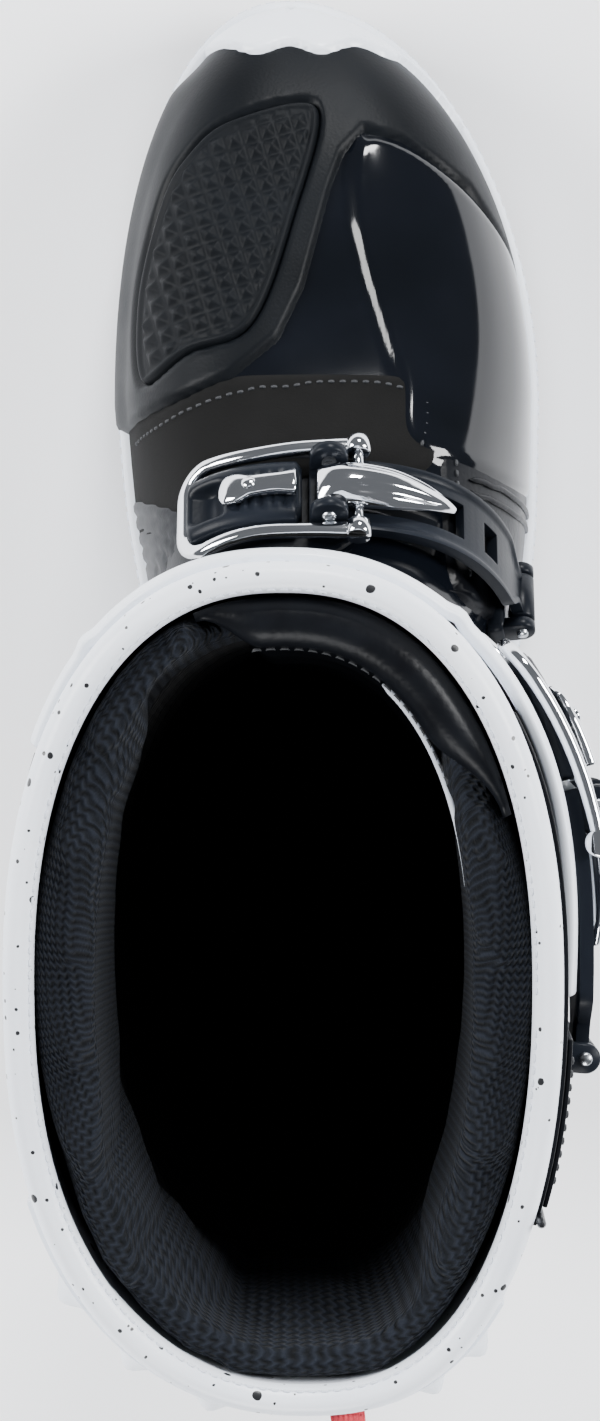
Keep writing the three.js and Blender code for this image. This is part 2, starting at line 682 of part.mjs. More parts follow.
function strapArm(track, reach) {
  const top = armLift + armThick;
  const neck = reach - barrelR - 2;
  let made = strip(track, [
    ...even(-5.2, neck - 8, armHalf, armLift, top, Math.round(neck / 10)),
    [neck - 2, armHalf - 1.5, armLift, top],
    [neck - 1, barrelHalf - 0.6, armLift, top],
    [reach, barrelHalf - 0.6, armLift, top],
  ]);
  for (const y of [-1, 1]) {
    const inner = y * cheekIn;
    const outer = y * (armHalf - 0.5);
    made = made.add(cheek(track, 0, leverPinT, cheekR, Math.min(inner, outer), Math.max(inner, outer), armLift + 1));
  }
  return made
    .add(pinAt(track, reach, hingeT, barrelR, barrelHalf, 12))
    .subtract(pinAt(track, 0, leverPinT, leverPinR + pinGap, 30))
    .subtract(pinAt(track, reach, hingeT, hingePinR + pinGap, 30));
}

function lever(track) {
  const rows = [
    [-2.9, 5, 7.4, 9.4], [-1.9, 6.4, 6.4, 11.2], [0.4, 7.2, 5.2, 12.8], [6, 7.2, 4.9, 13.6],
    [14, 6.8, 5, 12.6], [22, 5.2, 5, 10.6], [28, 3.2, 5, 8.8], [leverLength, 1, 5.2, 6.8],
  ];
  const ring = ([s, half, low, high]) => [
    track.wrap(s, -half, low + 0.5), track.wrap(s, 0, low), track.wrap(s, half, low + 0.5),
    track.wrap(s, half, low + (high - low) * 0.6), track.wrap(s, half * 0.5, high),
    track.wrap(s, -half * 0.5, high), track.wrap(s, -half, low + (high - low) * 0.6),
  ];
  let made = loft(rows.map(ring)).subtract(pinAt(track, 0, leverPinT, leverPinR + pinGap, 30));
  for (const y of [-1, 1]) {
    const hole = bar(track.wrap(eccentric, y * 8, leverPinT - eccentricDrop), track.side, trunnionR + pinGap, 4);
    made = made.subtract(hole);
  }
  return made;
}

function bail(track) {
  const round = 7;
  const end = -bailReach;
  const legLine = (s) => leverPinT - eccentricDrop - ((eccentric - s) * 3.1) / (eccentric + bailReach);
  const path = [
    ...steps(eccentric, end + round, 4).map((s) => [s, bailHalf, 0, 1]),
    ...steps(0, 90, 3).slice(1).map((a) => [end + round - round * Math.sin(rad(a)),
      bailHalf - round + round * Math.cos(rad(a)), -Math.sin(rad(a)), Math.cos(rad(a))]),
  ];
  const back = path.map(([s, y, ns, ny]) => [s, -y, ns, -ny]).reverse();
  const rings = [...path, ...back].map(([s, y, ns, ny]) => {
    const h = bailBar / 2;
    const t = legLine(s);
    return [[-h, -1], [h, -1], [h, 0.4], [h * 0.4, 1], [-h * 0.4, 1], [-h, 0.4]].map(([w, up]) => track.wrap(
      s + ns * w, y + ny * w, t + (up * bailThick) / 2));
  });
  let made = loft(rings);
  for (const y of [-1, 1]) {
    const t = leverPinT - eccentricDrop;
    made = made.add(bar(track.wrap(eccentric, y * bailHalf, t), track.side, 3.2, bailBar / 2 + 0.3, 12));
    made = made.add(bar(track.wrap(eccentric, y * (bailHalf - 4.6), t), track.side, trunnionR, 4.8, 10));
  }
  return made;
}

function catchBlock(track) {
  const slope = 6.6;
  const floor = 0.5;
  const ring = (s, half, shift) => {
    const lean = shift ? slope : 0;
    return [track.wrap(s, -half, floor), track.wrap(s, half, floor), track.wrap(s + lean * 0.45, half, catchTall * 0.55),
      track.wrap(s + lean, half - 2, catchTall), track.wrap(s + lean, 2 - half, catchTall),
      track.wrap(s + lean * 0.45, -half, catchTall * 0.55)];
  };
  return loft([
    ring(-catchFar + 1.2, catchHalf - 2.5, true), ring(-catchFar + 4, catchHalf, true),
    ...steps(-catchFar + 11, -catchNear, 3).map((s) => ring(s, catchHalf, false)),
  ]);
}

function keeper(track) {
  const rows = [[-27, 1.2, 7.3, 8.2], [-24.5, 3.6, 7.3, 9.6], [-20, 2.6, 7.3, 10.4], [-14, 2.4, 7.3, 11],
    [-8.5, 2.8, 7.3, 11.4]];
  return strip(track, rows);
}

function bracket(track, reach, base) {
  const low = -7;
  let made = strip(track, even(reach - 4.5, reach + 13, armHalf, low, -0.8, 2));
  for (const y of [-1, 1]) {
    const inner = y * (barrelHalf + 0.4);
    const outer = y * (armHalf - 0.5);
    made = made.add(cheek(track, reach, hingeT, barrelR, Math.min(inner, outer), Math.max(inner, outer), -3));
  }
  return made
    .subtract(pinAt(track, reach, hingeT, hingePinR + pinGap, 30))
    .subtract(base);
}

function saddle(track) {
  const rows = [...steps(-84, -50, 5).map((s) => [s, 13 + ((s + 84) * 5.5) / 34, -saddleWall, -0.1]),
    ...even(-44, -4, 18.5, -saddleWall, -0.1, 6), [2, 16, -saddleWall, -0.1], [7, 12, -saddleWall, -0.1]];
  return strip(track, rows).subtract(footUnion(fit, shellFloor));
}

// ---------- materials ----------
const finish = (color, roughness, metalness = 0) => new THREE.MeshStandardMaterial({ color, roughness, metalness });
const rubber = finish(0x1a1b1d, 0.85);
const glossBlack = finish(0x0b0d12, 0.12);
const satinBlack = finish(0x1e2126, 0.5);
const microfibre = finish(0x161617, 0.9);
const whitePlastic = finish(0xe9edf5, 0.3);
const whiteHide = finish(0xe6ebf3, 0.45);
const meshFabric = finish(0x0d0e11, 0.95);
const foam = finish(0x232428, 0.9);
const steel = finish(0xb9bcc0, 0.35, 1);
const polished = finish(0xe4e6ea, 0.12, 1);
const red = finish(0xc22a35, 0.7);

// ---------- assembly ----------
const boot = new THREE.Group();
const foot = new THREE.Group();
const leg = new THREE.Group();
boot.add(foot, leg);
leg.position.set(0, pivotY, pivotZ); // the leg turns here

// Puts a solid, made in the boot's frame, into a group as a named mesh.
function place(group, name, solid, material) {
  group.updateWorldMatrix(true, false);
  const geometry = toGeometry(solid).applyMatrix4(group.matrixWorld.clone().invert());
  const mesh = new THREE.Mesh(geometry, material);
  mesh.name = name;
  group.add(mesh);
}

place(foot, "outsole", outsole(), rubber);
place(foot, "midsole", midsole(), whitePlastic);
place(foot, "shank", shank(), steel);
place(foot, "toe_guard", toeGuard(), whitePlastic);
place(foot, "vamp_shell", shell(), glossBlack);
place(foot, "insole_board", innerSole(shellFloor + 0.3, boardTop, 8), foam);
place(foot, "footbed", innerSole(boardTop + 0.3, footbedTop, 8), foam);
place(foot, "foot_lining", footLining(), meshFabric);
place(foot, "shift_overlay", shiftOverlay(), satinBlack);
place(foot, "shift_pad", shiftPad(), rubber);
place(foot, "instep_panel", instepPanel(), microfibre);
place(foot, "heel_counter", heelCounter(), satinBlack);
place(foot, "pivot_screw_outer", pivotScrew(1), steel);
place(foot, "pivot_screw_inner", pivotScrew(-1), steel);

place(leg, "ankle_bellows", ankleBellows(), microfibre);
place(leg, "gaiter_shell", gaiterShell(), microfibre);
place(leg, "collar", collar(), whiteHide);
place(leg, "cuff_lining", cuffLining(), meshFabric);
place(leg, "tongue_pad", tonguePad(), microfibre);
place(leg, "shin_plate", shinPlate(), whitePlastic);
place(leg, "calf_plate", calfPlate(), whitePlastic);
place(leg, "inner_grip_panel", medialPanel(), rubber);
place(leg, "outer_panel", lateralPanel(), satinBlack);
place(leg, "closure_flap", closureFlap(), microfibre);
place(leg, "pull_tab", pullTab(), red);
place(leg, "pivot_arm_outer", sideArm(1), whitePlastic);
place(leg, "pivot_arm_inner", sideArm(-1), whitePlastic);

// One buckle: a catch on the boot's front, and a strap arm hinged to its outer side that carries the lever and bail.
function addBuckle(parent, name, track, reach, ground) {
  const group = new THREE.Group();
  const f = track.frame(0);
  group.position.copy(f.at).sub(parent.position);
  group.setRotationFromMatrix(new THREE.Matrix4().makeBasis(f.along, f.side, f.out));
  parent.add(group);
  place(group, `${name}_catch`, catchBlock(track), satinBlack);
  place(group, `${name}_keeper`, keeper(track), polished);
  place(group, `${name}_arm`, strapArm(track, reach), satinBlack);
  place(group, `${name}_lever_pin`, pinAt(track, 0, leverPinT, leverPinR, armHalf + 0.2), steel);
  place(group, `${name}_lever`, lever(track), polished);
  place(group, `${name}_bail`, bail(track), polished);
  place(group, `${name}_bracket`, bracket(track, reach, ground), satinBlack);
  place(group, `${name}_hinge_pin`, pinAt(track, reach, hingeT, hingePinR, armHalf + 0.6), steel);
}

const buckleZ = { ankle: ankleBuckleZ, shin: (ankleBuckleZ + calfBuckleZ) / 2, calf: calfBuckleZ };
const instepReach = 75;
const legReach = 58;
const tracks = { instep: instepTrack(), ...Object.fromEntries(Object.entries(buckleZ).map(([n, z]) => [n, legTrack(z)])) };
place(foot, "instep_saddle", saddle(tracks.instep), satinBlack);
addBuckle(foot, "instep", tracks.instep, instepReach, footUnion(fit, shellFloor));
for (const name of Object.keys(buckleZ)) {
  const ground = name === "calf" ? legSolid(flapOut + 2 * fit, calfBuckleZ - 60, calfBuckleZ + 40)
    : legSolid(fit + panelWall + fit, 120, calfBuckleZ + 26);
  addBuckle(leg, name, tracks[name], legReach, ground);
}

// The frame's origin is under the middle of the boot's box, on the ground.
boot.updateMatrixWorld(true);
const box = new THREE.Box3().setFromObject(boot, true);
boot.position.set(-(box.min.x + box.max.x) / 2, -(box.min.y + box.max.y) / 2, -box.min.z);

export default boot;
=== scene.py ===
import json
import math
import random

import bmesh
import bpy
import numpy as np
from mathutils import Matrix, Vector


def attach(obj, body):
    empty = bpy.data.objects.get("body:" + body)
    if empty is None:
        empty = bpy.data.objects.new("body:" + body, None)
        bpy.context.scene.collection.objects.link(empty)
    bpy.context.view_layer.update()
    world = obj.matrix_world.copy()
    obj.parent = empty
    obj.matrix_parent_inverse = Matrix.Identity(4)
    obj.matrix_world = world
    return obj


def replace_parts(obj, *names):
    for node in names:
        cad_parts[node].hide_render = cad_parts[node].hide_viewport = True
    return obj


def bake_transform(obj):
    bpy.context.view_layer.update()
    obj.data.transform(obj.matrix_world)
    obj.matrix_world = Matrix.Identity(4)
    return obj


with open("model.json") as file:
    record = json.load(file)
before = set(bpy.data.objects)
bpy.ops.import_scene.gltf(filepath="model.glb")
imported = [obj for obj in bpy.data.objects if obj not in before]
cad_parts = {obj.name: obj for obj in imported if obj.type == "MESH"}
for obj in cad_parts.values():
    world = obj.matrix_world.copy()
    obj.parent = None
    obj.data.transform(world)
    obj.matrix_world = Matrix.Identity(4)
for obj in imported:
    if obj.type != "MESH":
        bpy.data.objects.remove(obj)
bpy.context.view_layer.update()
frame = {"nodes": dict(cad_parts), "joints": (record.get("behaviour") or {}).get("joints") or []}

random.seed(7)
print("frame loaded:", len(frame["nodes"]), "nodes")

# Shapes are worked out in the boot's own millimetres (heel at y = 0, toe towards +y, outer side +x)
# and moved into the row frame by the place of the ankle joint.
joints = {j["name"]: j for j in frame["joints"]}
anklePivot = Vector(joints["ankle_flex"]["pos_m"])
pivotAt = (0.0, 70.0, 98.0)
shift = np.array([anklePivot.x * 1000 - pivotAt[0], anklePivot.y * 1000 - pivotAt[1], 0.0])


def toRow(points):
    return (np.asarray(points, float).reshape(-1, 3) + shift) / 1000.0


# ---- camera: straight above the boot ----
view = {"x": 4.0, "y": 112.0, "height": 1600.0, "lens": 138.3}
camera = bpy.data.objects.new("camera", bpy.data.cameras.new("camera"))
bpy.context.scene.collection.objects.link(camera)
camera.location = Vector(toRow([view["x"], view["y"], view["height"]])[0])
camera.data.lens = view["lens"]
camera.data.sensor_width = 36
camera.data.clip_end = 20
bpy.context.scene.camera = camera


# ---- number helpers ----
def through(points):  # smooth curve through points that never overshoots them
    x, y = np.array(points, float).T
    h = np.diff(x)
    d = np.diff(y) / h
    slope = np.zeros(len(x))
    slope[0], slope[-1] = d[0], d[-1]
    for i in range(1, len(x) - 1):
        if d[i - 1] * d[i] > 0:
            w1, w2 = 2 * h[i] + h[i - 1], h[i] + 2 * h[i - 1]
            slope[i] = (w1 + w2) / (w1 / d[i - 1] + w2 / d[i])

    def curve(q):
        q = np.asarray(q, float)
        i = np.clip(np.searchsorted(x, q) - 1, 0, len(h) - 1)
        t = np.clip((q - x[i]) / h[i], 0, 1)
        return ((2 * t**3 - 3 * t**2 + 1) * y[i] + (t**3 - 2 * t**2 + t) * h[i] * slope[i]
                + (3 * t**2 - 2 * t**3) * y[i + 1] + (t**3 - t**2) * h[i] * slope[i + 1])

    return curve


def smooth(x, low, high):
    u = np.clip((np.asarray(x, float) - low) / (high - low), 0, 1)
    return u * u * (3 - 2 * u)


def power(x, e):
    return np.sign(x) * np.abs(x) ** e


def bump(x, middle, half):  # a round hill of height 1
    return 1 - smooth(np.abs(np.asarray(x, float) - middle), 0, half)


def inwards(points, outline):  # how far inside a closed outline each point lies, negative outside
    p = np.asarray(points, float).reshape(-1, 2)
    a = np.asarray(outline, float)
    b = np.roll(a, -1, axis=0)
    best = np.full(len(p), 1e9)
    inside = np.zeros(len(p), bool)
    for (ax, ay), (bx, by) in zip(a, b):
        e = np.array([bx - ax, by - ay])
        t = np.clip(((p[:, 0] - ax) * e[0] + (p[:, 1] - ay) * e[1]) / (e @ e), 0, 1)
        best = np.minimum(best, np.hypot(p[:, 0] - ax - t * e[0], p[:, 1] - ay - t * e[1]))
        crosses = (ay > p[:, 1]) != (by > p[:, 1])
        with np.errstate(divide="ignore", invalid="ignore"):
            inside ^= crosses & (p[:, 0] < (bx - ax) * (p[:, 1] - ay) / (by - ay) + ax)
    return np.where(inside, best, -best)


def rounded(points, samples=64):  # closed smooth outline through points
    p = np.array(points, float)
    n = len(p)
    out = []
    for k in range(samples):
        t = k * n / samples
        i, u = int(t), t % 1
        q = [p[(i + j) % n] for j in (-1, 0, 1, 2)]
        out.append(0.5 * (2 * q[1] + (q[2] - q[0]) * u + (2 * q[0] - 5 * q[1] + 4 * q[2] - q[3]) * u**2
                          + (3 * q[1] - q[0] - 3 * q[2] + q[3]) * u**3))
    return np.array(out)


# ---- the two forms that everything lies on ----
sole = {"length": 315.4, "ballAt": 200.0, "ballInner": 48.6, "ballOuter": 72.6, "toeX": 1.0, "heelX": 2.5,
        "heelHalf": 41.0, "heelRound": 38.0, "toeInner": 2.2, "toeOuter": 1.95, "toeInset": 1.6, "lip": 4.0,
        "floor": 20.0, "pitch": 17.0, "gap": 4.0, "spring": 9.0, "springBack": 90.4}
waistInner = through([[38, 38.5], [75, 37.5], [110, 37.5], [140, 40.8], [170, 45.8], [200, 48.6]])
waistOuter = through([[38, 43.5], [75, 47.5], [110, 60.5], [140, 69], [170, 72], [200, 72.6]])
footHeight = through([[60, 64], [100, 106], [125, 124], [138, 125], [150, 119], [170, 105.5], [190, 93],
                      [210, 83.5], [240, 74], [265, 65], [285, 54], [298, 43.5], [306, 34.5], [315.4, 23]])
footRidge = through([[60, 3], [150, 6], [200, 8.5], [250, 6], [315.4, 1]])
footSide = through([[60, 0.8], [150, 0.78], [200, 0.66], [260, 0.6], [315.4, 0.7]])
footRoof = through([[60, 0.9], [150, 0.95], [200, 0.85], [260, 0.72], [315.4, 0.8]])


def lift(y):
    return sole["spring"] * (np.maximum(0,
        y - sole["length"] + sole["springBack"]) / sole["springBack"]) ** 2


def edges(y, inset):
    s = sole
    if y < s["heelRound"]:
        u = min(1.0, (s["heelRound"] - y) / (s["heelRound"] - inset))
        half = (s["heelHalf"] - inset) * math.sqrt(1 - u * u)
        return s["heelX"] - half, s["heelX"] + half
    if y <= s["ballAt"]:
        return inset - float(waistInner(y)), float(waistOuter(y)) - inset
    u = min(1.0, (y - s["ballAt"]) / (s["length"] - s["ballAt"] - inset * s["toeInset"]))
    inner, outer = s["toeInner"], s["toeOuter"]
    return (s["toeX"] - (s["ballInner"] + s["toeX"] - inset) * (1 - u**inner) ** (1 / inner),
            s["toeX"] + (s["ballOuter"] - s["toeX"] - inset) * (1 - u**outer) ** (1 / outer))


def ankleLine(y):
    return 98.4 + 0.163 * y


collar = {"backZ": 345.0, "depth": 32.0, "wall": 5.0}
legSquare = 2.3
calfBulge = 5.0
legMiddleX = through([[20, 2.5], [60, 3], [110, 4.5], [140, 4.5], [180, 4], [240, 3], [300, 1.5], [345,
    0.3], [380, 0]])
legMiddleY = through([[20, 57], [60, 62], [110, 76], [140, 72], [180, 66], [240, 59], [300, 52], [345,
    47.5], [380, 46.5]])
legHalfX = through([[20, 37], [60, 41], [110, 45], [140, 46], [180, 49.5], [240, 55], [300, 60.5], [345,
    63], [380, 63]])
legHalfY = through([[20, 53], [60, 60], [110, 66], [140, 68], [180, 72], [240, 82], [300, 92], [345, 98],
    [380, 98]])
cuffLine = through([[-20, 116], [20, 116], [70, 126], [118, 146], [145, 153]])


def calfSkew(back, z):
    return calfBulge * smooth(z, 110, collar["backZ"]) * np.maximum(0, -back) ** 3


def legPoint(angle, z, off):  # angle 0 is the outer side, 90 the shin and -90 the calf
    a = np.radians(angle)
    x = legMiddleX(z) + calfSkew(np.sin(a), z) + (legHalfX(z) + off) * power(np.cos(a), 2 / legSquare)
    y = legMiddleY(z) + (legHalfY(z) + off) * power(np.sin(a), 2 / legSquare)
    return np.stack(np.broadcast_arrays(x, y, z), axis=-1)


def onLine(line, start):  # height at which the leg meets a line that depends on y
    def at(angle):
        z = np.full(np.shape(angle), float(start))
        for _ in range(6):
            z = line(legPoint(angle, z, 0)[..., 1])
        return z

    return at


mouthAt = onLine(lambda y: 345 + (y + 45) * 35 / 190, 380)
cuffAt = onLine(cuffLine, 130)
ankleAt = onLine(ankleLine, 110)


def wing(angle):
    return 2.4 * smooth(angle, 70, 20)


def shinOut(angle):
    return 0.6 + wing(angle) + 3.4


# ---- mesh helpers ----
def newPiece(name, points, faces, body=None, material=None, weld=True):
    mesh = bpy.data.meshes.new(name)
    mesh.from_pydata([tuple(p) for p in toRow(points)], [], faces)
    tool = bmesh.new()
    tool.from_mesh(mesh)
    if weld:
        bmesh.ops.remove_doubles(tool, verts=tool.verts, dist=2e-6)
        bmesh.ops.dissolve_degenerate(tool, edges=tool.edges, dist=1e-6)
    tool.to_mesh(mesh)
    tool.free()
    piece = bpy.data.objects.new(name, mesh)
    bpy.context.scene.collection.objects.link(piece)
    mesh.shade_smooth()
    if material:
        mesh.materials.append(material)
    if body:
        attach(piece, body)
    return piece


def settle(piece):  # applies the modifiers
    bpy.context.view_layer.update()
    graph = bpy.context.evaluated_depsgraph_get()
    made = bpy.data.meshes.new_from_object(piece.evaluated_get(graph))
    piece.modifiers.clear()
    piece.data = made
    return piece


def faceOut(piece, centre=None):
    tool = bmesh.new()
    tool.from_mesh(piece.data)
    if centre is None:
        bmesh.ops.recalc_face_normals(tool, faces=tool.faces)
    else:
        total = 0.0
        for f in tool.faces:
            mid = f.calc_center_median()
            total += f.normal.dot(mid - centre(mid)) * f.calc_area()
        if total < 0:
            bmesh.ops.reverse_faces(tool, faces=tool.faces)
    tool.to_mesh(piece.data)
    tool.free()


def legAxis(p):  # a point on the leg's middle line, level with p
    z = p.z * 1000
    return Vector(((float(legMiddleX(z)) + shift[0]) / 1000, (float(legMiddleY(z)) + shift[1]) / 1000, p.z))


def footAxis(p):
    y = p.y * 1000 - shift[1]
    return Vector(((float(footRidge(y)) + shift[0]) / 1000, min(p.y, (270 + shift[1]) / 1000), 0.028))


def sheetPiece(name, grid, wall, body, material, centre, closed=False, keep=None, rim=0.0, turn=3):
    n, m = grid.shape[:2]
    faces = []
    for i in range(n if closed else n - 1):
        j = (i + 1) % n
        for k in range(m - 1):
            if keep is None or keep[i, k]:
                faces.append((i * m + k, j * m + k, j * m + k + 1, i * m + k + 1))
    piece = newPiece(name, grid.reshape(-1, 3), faces, material=material)
    tool = bmesh.new()
    tool.from_mesh(piece.data)
    bmesh.ops.delete(tool, geom=[v for v in tool.verts if not v.link_faces], context="VERTS")
    tool.to_mesh(piece.data)
    tool.free()
    faceOut(piece, centre)
    thick = piece.modifiers.new("wall", "SOLIDIFY")
    thick.thickness = wall / 1000
    thick.offset = -1
    if rim:
        bevel = piece.modifiers.new("rim", "BEVEL")
        bevel.width = rim / 1000
        bevel.segments = turn
        bevel.limit_method = "ANGLE"
        bevel.angle_limit = math.radians(50)
    settle(piece)
    piece.data.shade_smooth()
    if body:
        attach(piece, body)
    return piece


# ---- materials ----
def linear(code):  # sRGB hex to linear colour
    parts = [int(code[i:i + 2], 16) / 255 for i in (1, 3, 5)]
    return (*[c / 12.92 if c <= 0.04045 else ((c + 0.055) / 1.055) ** 2.4 for c in parts], 1.0)


def addNode(tree, kind, inputs=None, **settings):
    node = tree.nodes.new("ShaderNode" + kind)
    for key, setting in settings.items():
        setattr(node, key, setting)
    for key, given in (inputs or {}).items():
        if isinstance(given, bpy.types.NodeSocket):
            tree.links.new(given, node.inputs[key])
        else:
            node.inputs[key].default_value = given
    return node


def perMm(size):  # texture scale for a pattern whose cells are this many millimetres
    return 1000.0 / size


def newMaterial(name, **values):
    material = bpy.data.materials.new(name)
    material.use_nodes = True
    tree = material.node_tree
    shader = tree.nodes["Principled BSDF"]
    for key, given in values.items():
        shader.inputs[key].default_value = given
    place = addNode(tree, "TexCoord").outputs["Object"]
    return material, tree, shader, place


def mottled(tree, shader, place, dark, light, size, roughLow, roughHigh):  # uneven colour and gloss
    cloud = addNode(tree, "TexNoise", {"Vector": place, "Scale": perMm(size), "Detail": 5.0})
    tone = addNode(tree, "ValToRGB", {"Fac": cloud.outputs["Fac"]})
    tone.color_ramp.elements[0].position, tone.color_ramp.elements[1].position = 0.3, 0.7
    tone.color_ramp.elements[0].color, tone.color_ramp.elements[1].color = linear(dark), linear(light)
    tree.links.new(tone.outputs["Color"], shader.inputs["Base Color"])
    gloss = addNode(tree, "MapRange", {"Value": cloud.outputs["Fac"], "From Min": 0.3, "From Max": 0.7,
                                       "To Min": roughLow, "To Max": roughHigh})
    tree.links.new(gloss.outputs["Result"], shader.inputs["Roughness"])
    return tone


def raised(tree, shader, height, depth):  # bump of this many millimetres
    made = addNode(tree, "Bump", {"Height": height, "Strength": 1.0, "Distance": depth / 1000})
    tree.links.new(made.outputs["Normal"], shader.inputs["Normal"])


def grained(tree, shader, place, size, depth):  # leather or moulded grain
    cells = addNode(tree, "TexVoronoi", {"Vector": place, "Scale": perMm(size)}, feature="SMOOTH_F1")
    raised(tree, shader, cells.outputs["Distance"], depth)


def mouldedPlastic(name, dark, light, roughLow, roughHigh, grain=0.0, depth=0.0, **values):
    material, tree, shader, place = newMaterial(name, IOR=1.5, **values)
    mottled(tree, shader, place, dark, light, 38, roughLow, roughHigh)
    if grain:
        grained(tree, shader, place, grain, depth)
    return material


def leather(name, dark, light, roughLow, roughHigh, grain, depth, **values):
    material, tree, shader, place = newMaterial(name, IOR=1.48, **values)
    mottled(tree, shader, place, dark, light, 14, roughLow, roughHigh)
    grained(tree, shader, place, grain, depth)
    return material


def flecked():  # white coated hide with small black flecks thrown on it, drawn as round spots of 0.6 to 3 mm
    material, tree, shader, place = newMaterial("whiteHideFlecked", IOR=1.5)
    tone = mottled(tree, shader, place, "#E3E9F3", "#EDF2FA", 30, 0.32, 0.42)
    spots = None
    for size, least, most, share in ((6.4, 0.06, 0.2, 0.4), (3.2, 0.06, 0.18, 0.3)):
        bend = addNode(tree, "TexNoise", {"Vector": place, "Scale": perMm(2.4), "Detail": 1.0})
        wobble = addNode(tree, "VectorMath", {0: bend.outputs["Color"], 1: (0.0007,) * 3},
            operation="MULTIPLY")
        moved = addNode(tree, "VectorMath", {0: place, 1: wobble.outputs["Vector"]}, operation="ADD")
        cells = addNode(tree, "TexVoronoi", {"Vector": moved.outputs["Vector"], "Scale": perMm(size)})
        pick = addNode(tree, "SeparateColor", {"Color": cells.outputs["Color"]})
        reach = addNode(tree, "MapRange", {"Value": pick.outputs["Red"], "From Min": share, "From Max": 1.0,
                                           "To Min": least, "To Max": most})
        spot = addNode(tree, "Math", {0: cells.outputs["Distance"], 1: reach.outputs["Result"]},
            operation="LESS_THAN")
        few = addNode(tree, "Math", {0: pick.outputs["Red"], 1: share}, operation="GREATER_THAN")
        both = addNode(tree, "Math", {0: spot.outputs[0], 1: few.outputs[0]}, operation="MULTIPLY")
        spots = both if spots is None else addNode(tree, "Math", {0: spots.outputs[0], 1: both.outputs[0]},
                                                   operation="MAXIMUM")
    inked = addNode(tree, "Mix", {0: spots.outputs[0], 6: tone.outputs["Color"], 7: linear("#17181B")},
        data_type="RGBA")
    tree.links.new(inked.outputs[2], shader.inputs["Base Color"])
    grained(tree, shader, place, 1.1, 0.05)
    return material


# loops of yarn in rows round the leg, 1.9 mm apart to show; the colour follows the bump height, so the low
# gaps between the loops carry painted shade
def knitted(name, yarn, gap, pitch, depth, centreY):
    material, tree, shader, place = newMaterial(name, IOR=1.45, Roughness=0.92,
        **{"Specular IOR Level": 0.16})
    shader.inputs["Sheen Weight"].default_value = 0.02
    shader.inputs["Sheen Roughness"].default_value = 0.5
    middle = toRow([0, centreY, 0])[0]
    local = addNode(tree, "VectorMath", {0: place, 1: tuple(middle)}, operation="SUBTRACT")
    xyz = addNode(tree, "SeparateXYZ", {"Vector": local.outputs["Vector"]})
    turn = addNode(tree, "Math", {0: xyz.outputs["Y"], 1: xyz.outputs["X"]}, operation="ARCTAN2")
    flat = addNode(tree, "CombineXYZ", {"X": xyz.outputs["X"], "Y": xyz.outputs["Y"]})
    out = addNode(tree, "VectorMath", {0: flat.outputs["Vector"]}, operation="LENGTH")
    rows = addNode(tree, "Math", {0: xyz.outputs["Z"], 1: out.outputs["Value"]}, operation="SUBTRACT")
    rowTurn = addNode(tree, "Math", {0: rows.outputs[0], 1: math.tau * perMm(pitch)}, operation="MULTIPLY")
    rowWave = addNode(tree, "Math", {0: rowTurn.outputs[0]}, operation="SINE")
    slant = addNode(tree, "Math", {0: rowWave.outputs[0], 1: 1.1}, operation="MULTIPLY")
    around = addNode(tree, "Math", {0: turn.outputs[0], 1: round(math.tau * 52 / pitch)},
        operation="MULTIPLY")
    bent = addNode(tree, "Math", {0: around.outputs[0], 1: slant.outputs[0]}, operation="ADD")
    loops = addNode(tree, "Math", {0: bent.outputs[0]}, operation="SINE")
    half = addNode(tree, "Math", {0: rowTurn.outputs[0], 1: 0.5}, operation="MULTIPLY")
    ribs = addNode(tree, "Math", {0: half.outputs[0]}, operation="SINE")
    ribSize = addNode(tree, "Math", {0: ribs.outputs[0]}, operation="ABSOLUTE")
    knit = addNode(tree, "Math", {0: loops.outputs[0], 1: ribSize.outputs[0]}, operation="ADD")
    fuzz = addNode(tree, "TexNoise", {"Vector": place, "Scale": perMm(0.7), "Detail": 3.0})
    height = addNode(tree, "Math", {0: knit.outputs[0], 1: fuzz.outputs["Fac"]}, operation="ADD")
    # painted shade: the colour runs from the dark gap colour at the knit's low points to the yarn colour at
    # its tops; the fuzz noise adds random tone
    tone = addNode(tree, "ValToRGB", {"Fac": addNode(tree, "MapRange", {
        "Value": height.outputs[0], "From Min": -0.6, "From Max": 2.4}).outputs["Result"]})
    tone.color_ramp.elements[0].color, tone.color_ramp.elements[1].color = linear(gap), linear(yarn)
    tree.links.new(tone.outputs["Color"], shader.inputs["Base Color"])
    raised(tree, shader, height.outputs[0], depth)
    return material


def sueded():  # brushed microfibre: no gloss, a soft bloom at the edges
    material, tree, shader, place = newMaterial("microfibreBrushed", IOR=1.45,
        **{"Specular IOR Level": 0.15})
    shader.inputs["Sheen Weight"].default_value = 0.02
    mottled(tree, shader, place, "#080808", "#101010", 9, 0.85, 0.97)
    nap = addNode(tree, "TexNoise", {"Vector": place, "Scale": perMm(0.8), "Detail": 6.0, "Roughness": 0.7})
    raised(tree, shader, nap.outputs["Fac"], 0.12)
    return material


# `lay` is the length of the polishing marks in millimetres
def metal(name, colour, roughLow, roughHigh, lay):
    material, tree, shader, place = newMaterial(name, Metallic=1.0)
    stretched = addNode(tree, "Mapping", {"Vector": place, "Scale": (1.0, 9.0, 9.0)})
    marks = addNode(tree, "TexNoise", {"Vector": stretched.outputs["Vector"], "Scale": perMm(lay),
        "Detail": 6.0})
    gloss = addNode(tree, "MapRange", {"Value": marks.outputs["Fac"], "From Min": 0.3, "From Max": 0.7,
                                       "To Min": roughLow, "To Max": roughHigh})
    tree.links.new(gloss.outputs["Result"], shader.inputs["Roughness"])
    shader.inputs["Base Color"].default_value = linear(colour)
    raised(tree, shader, marks.outputs["Fac"], 0.01)
    return material


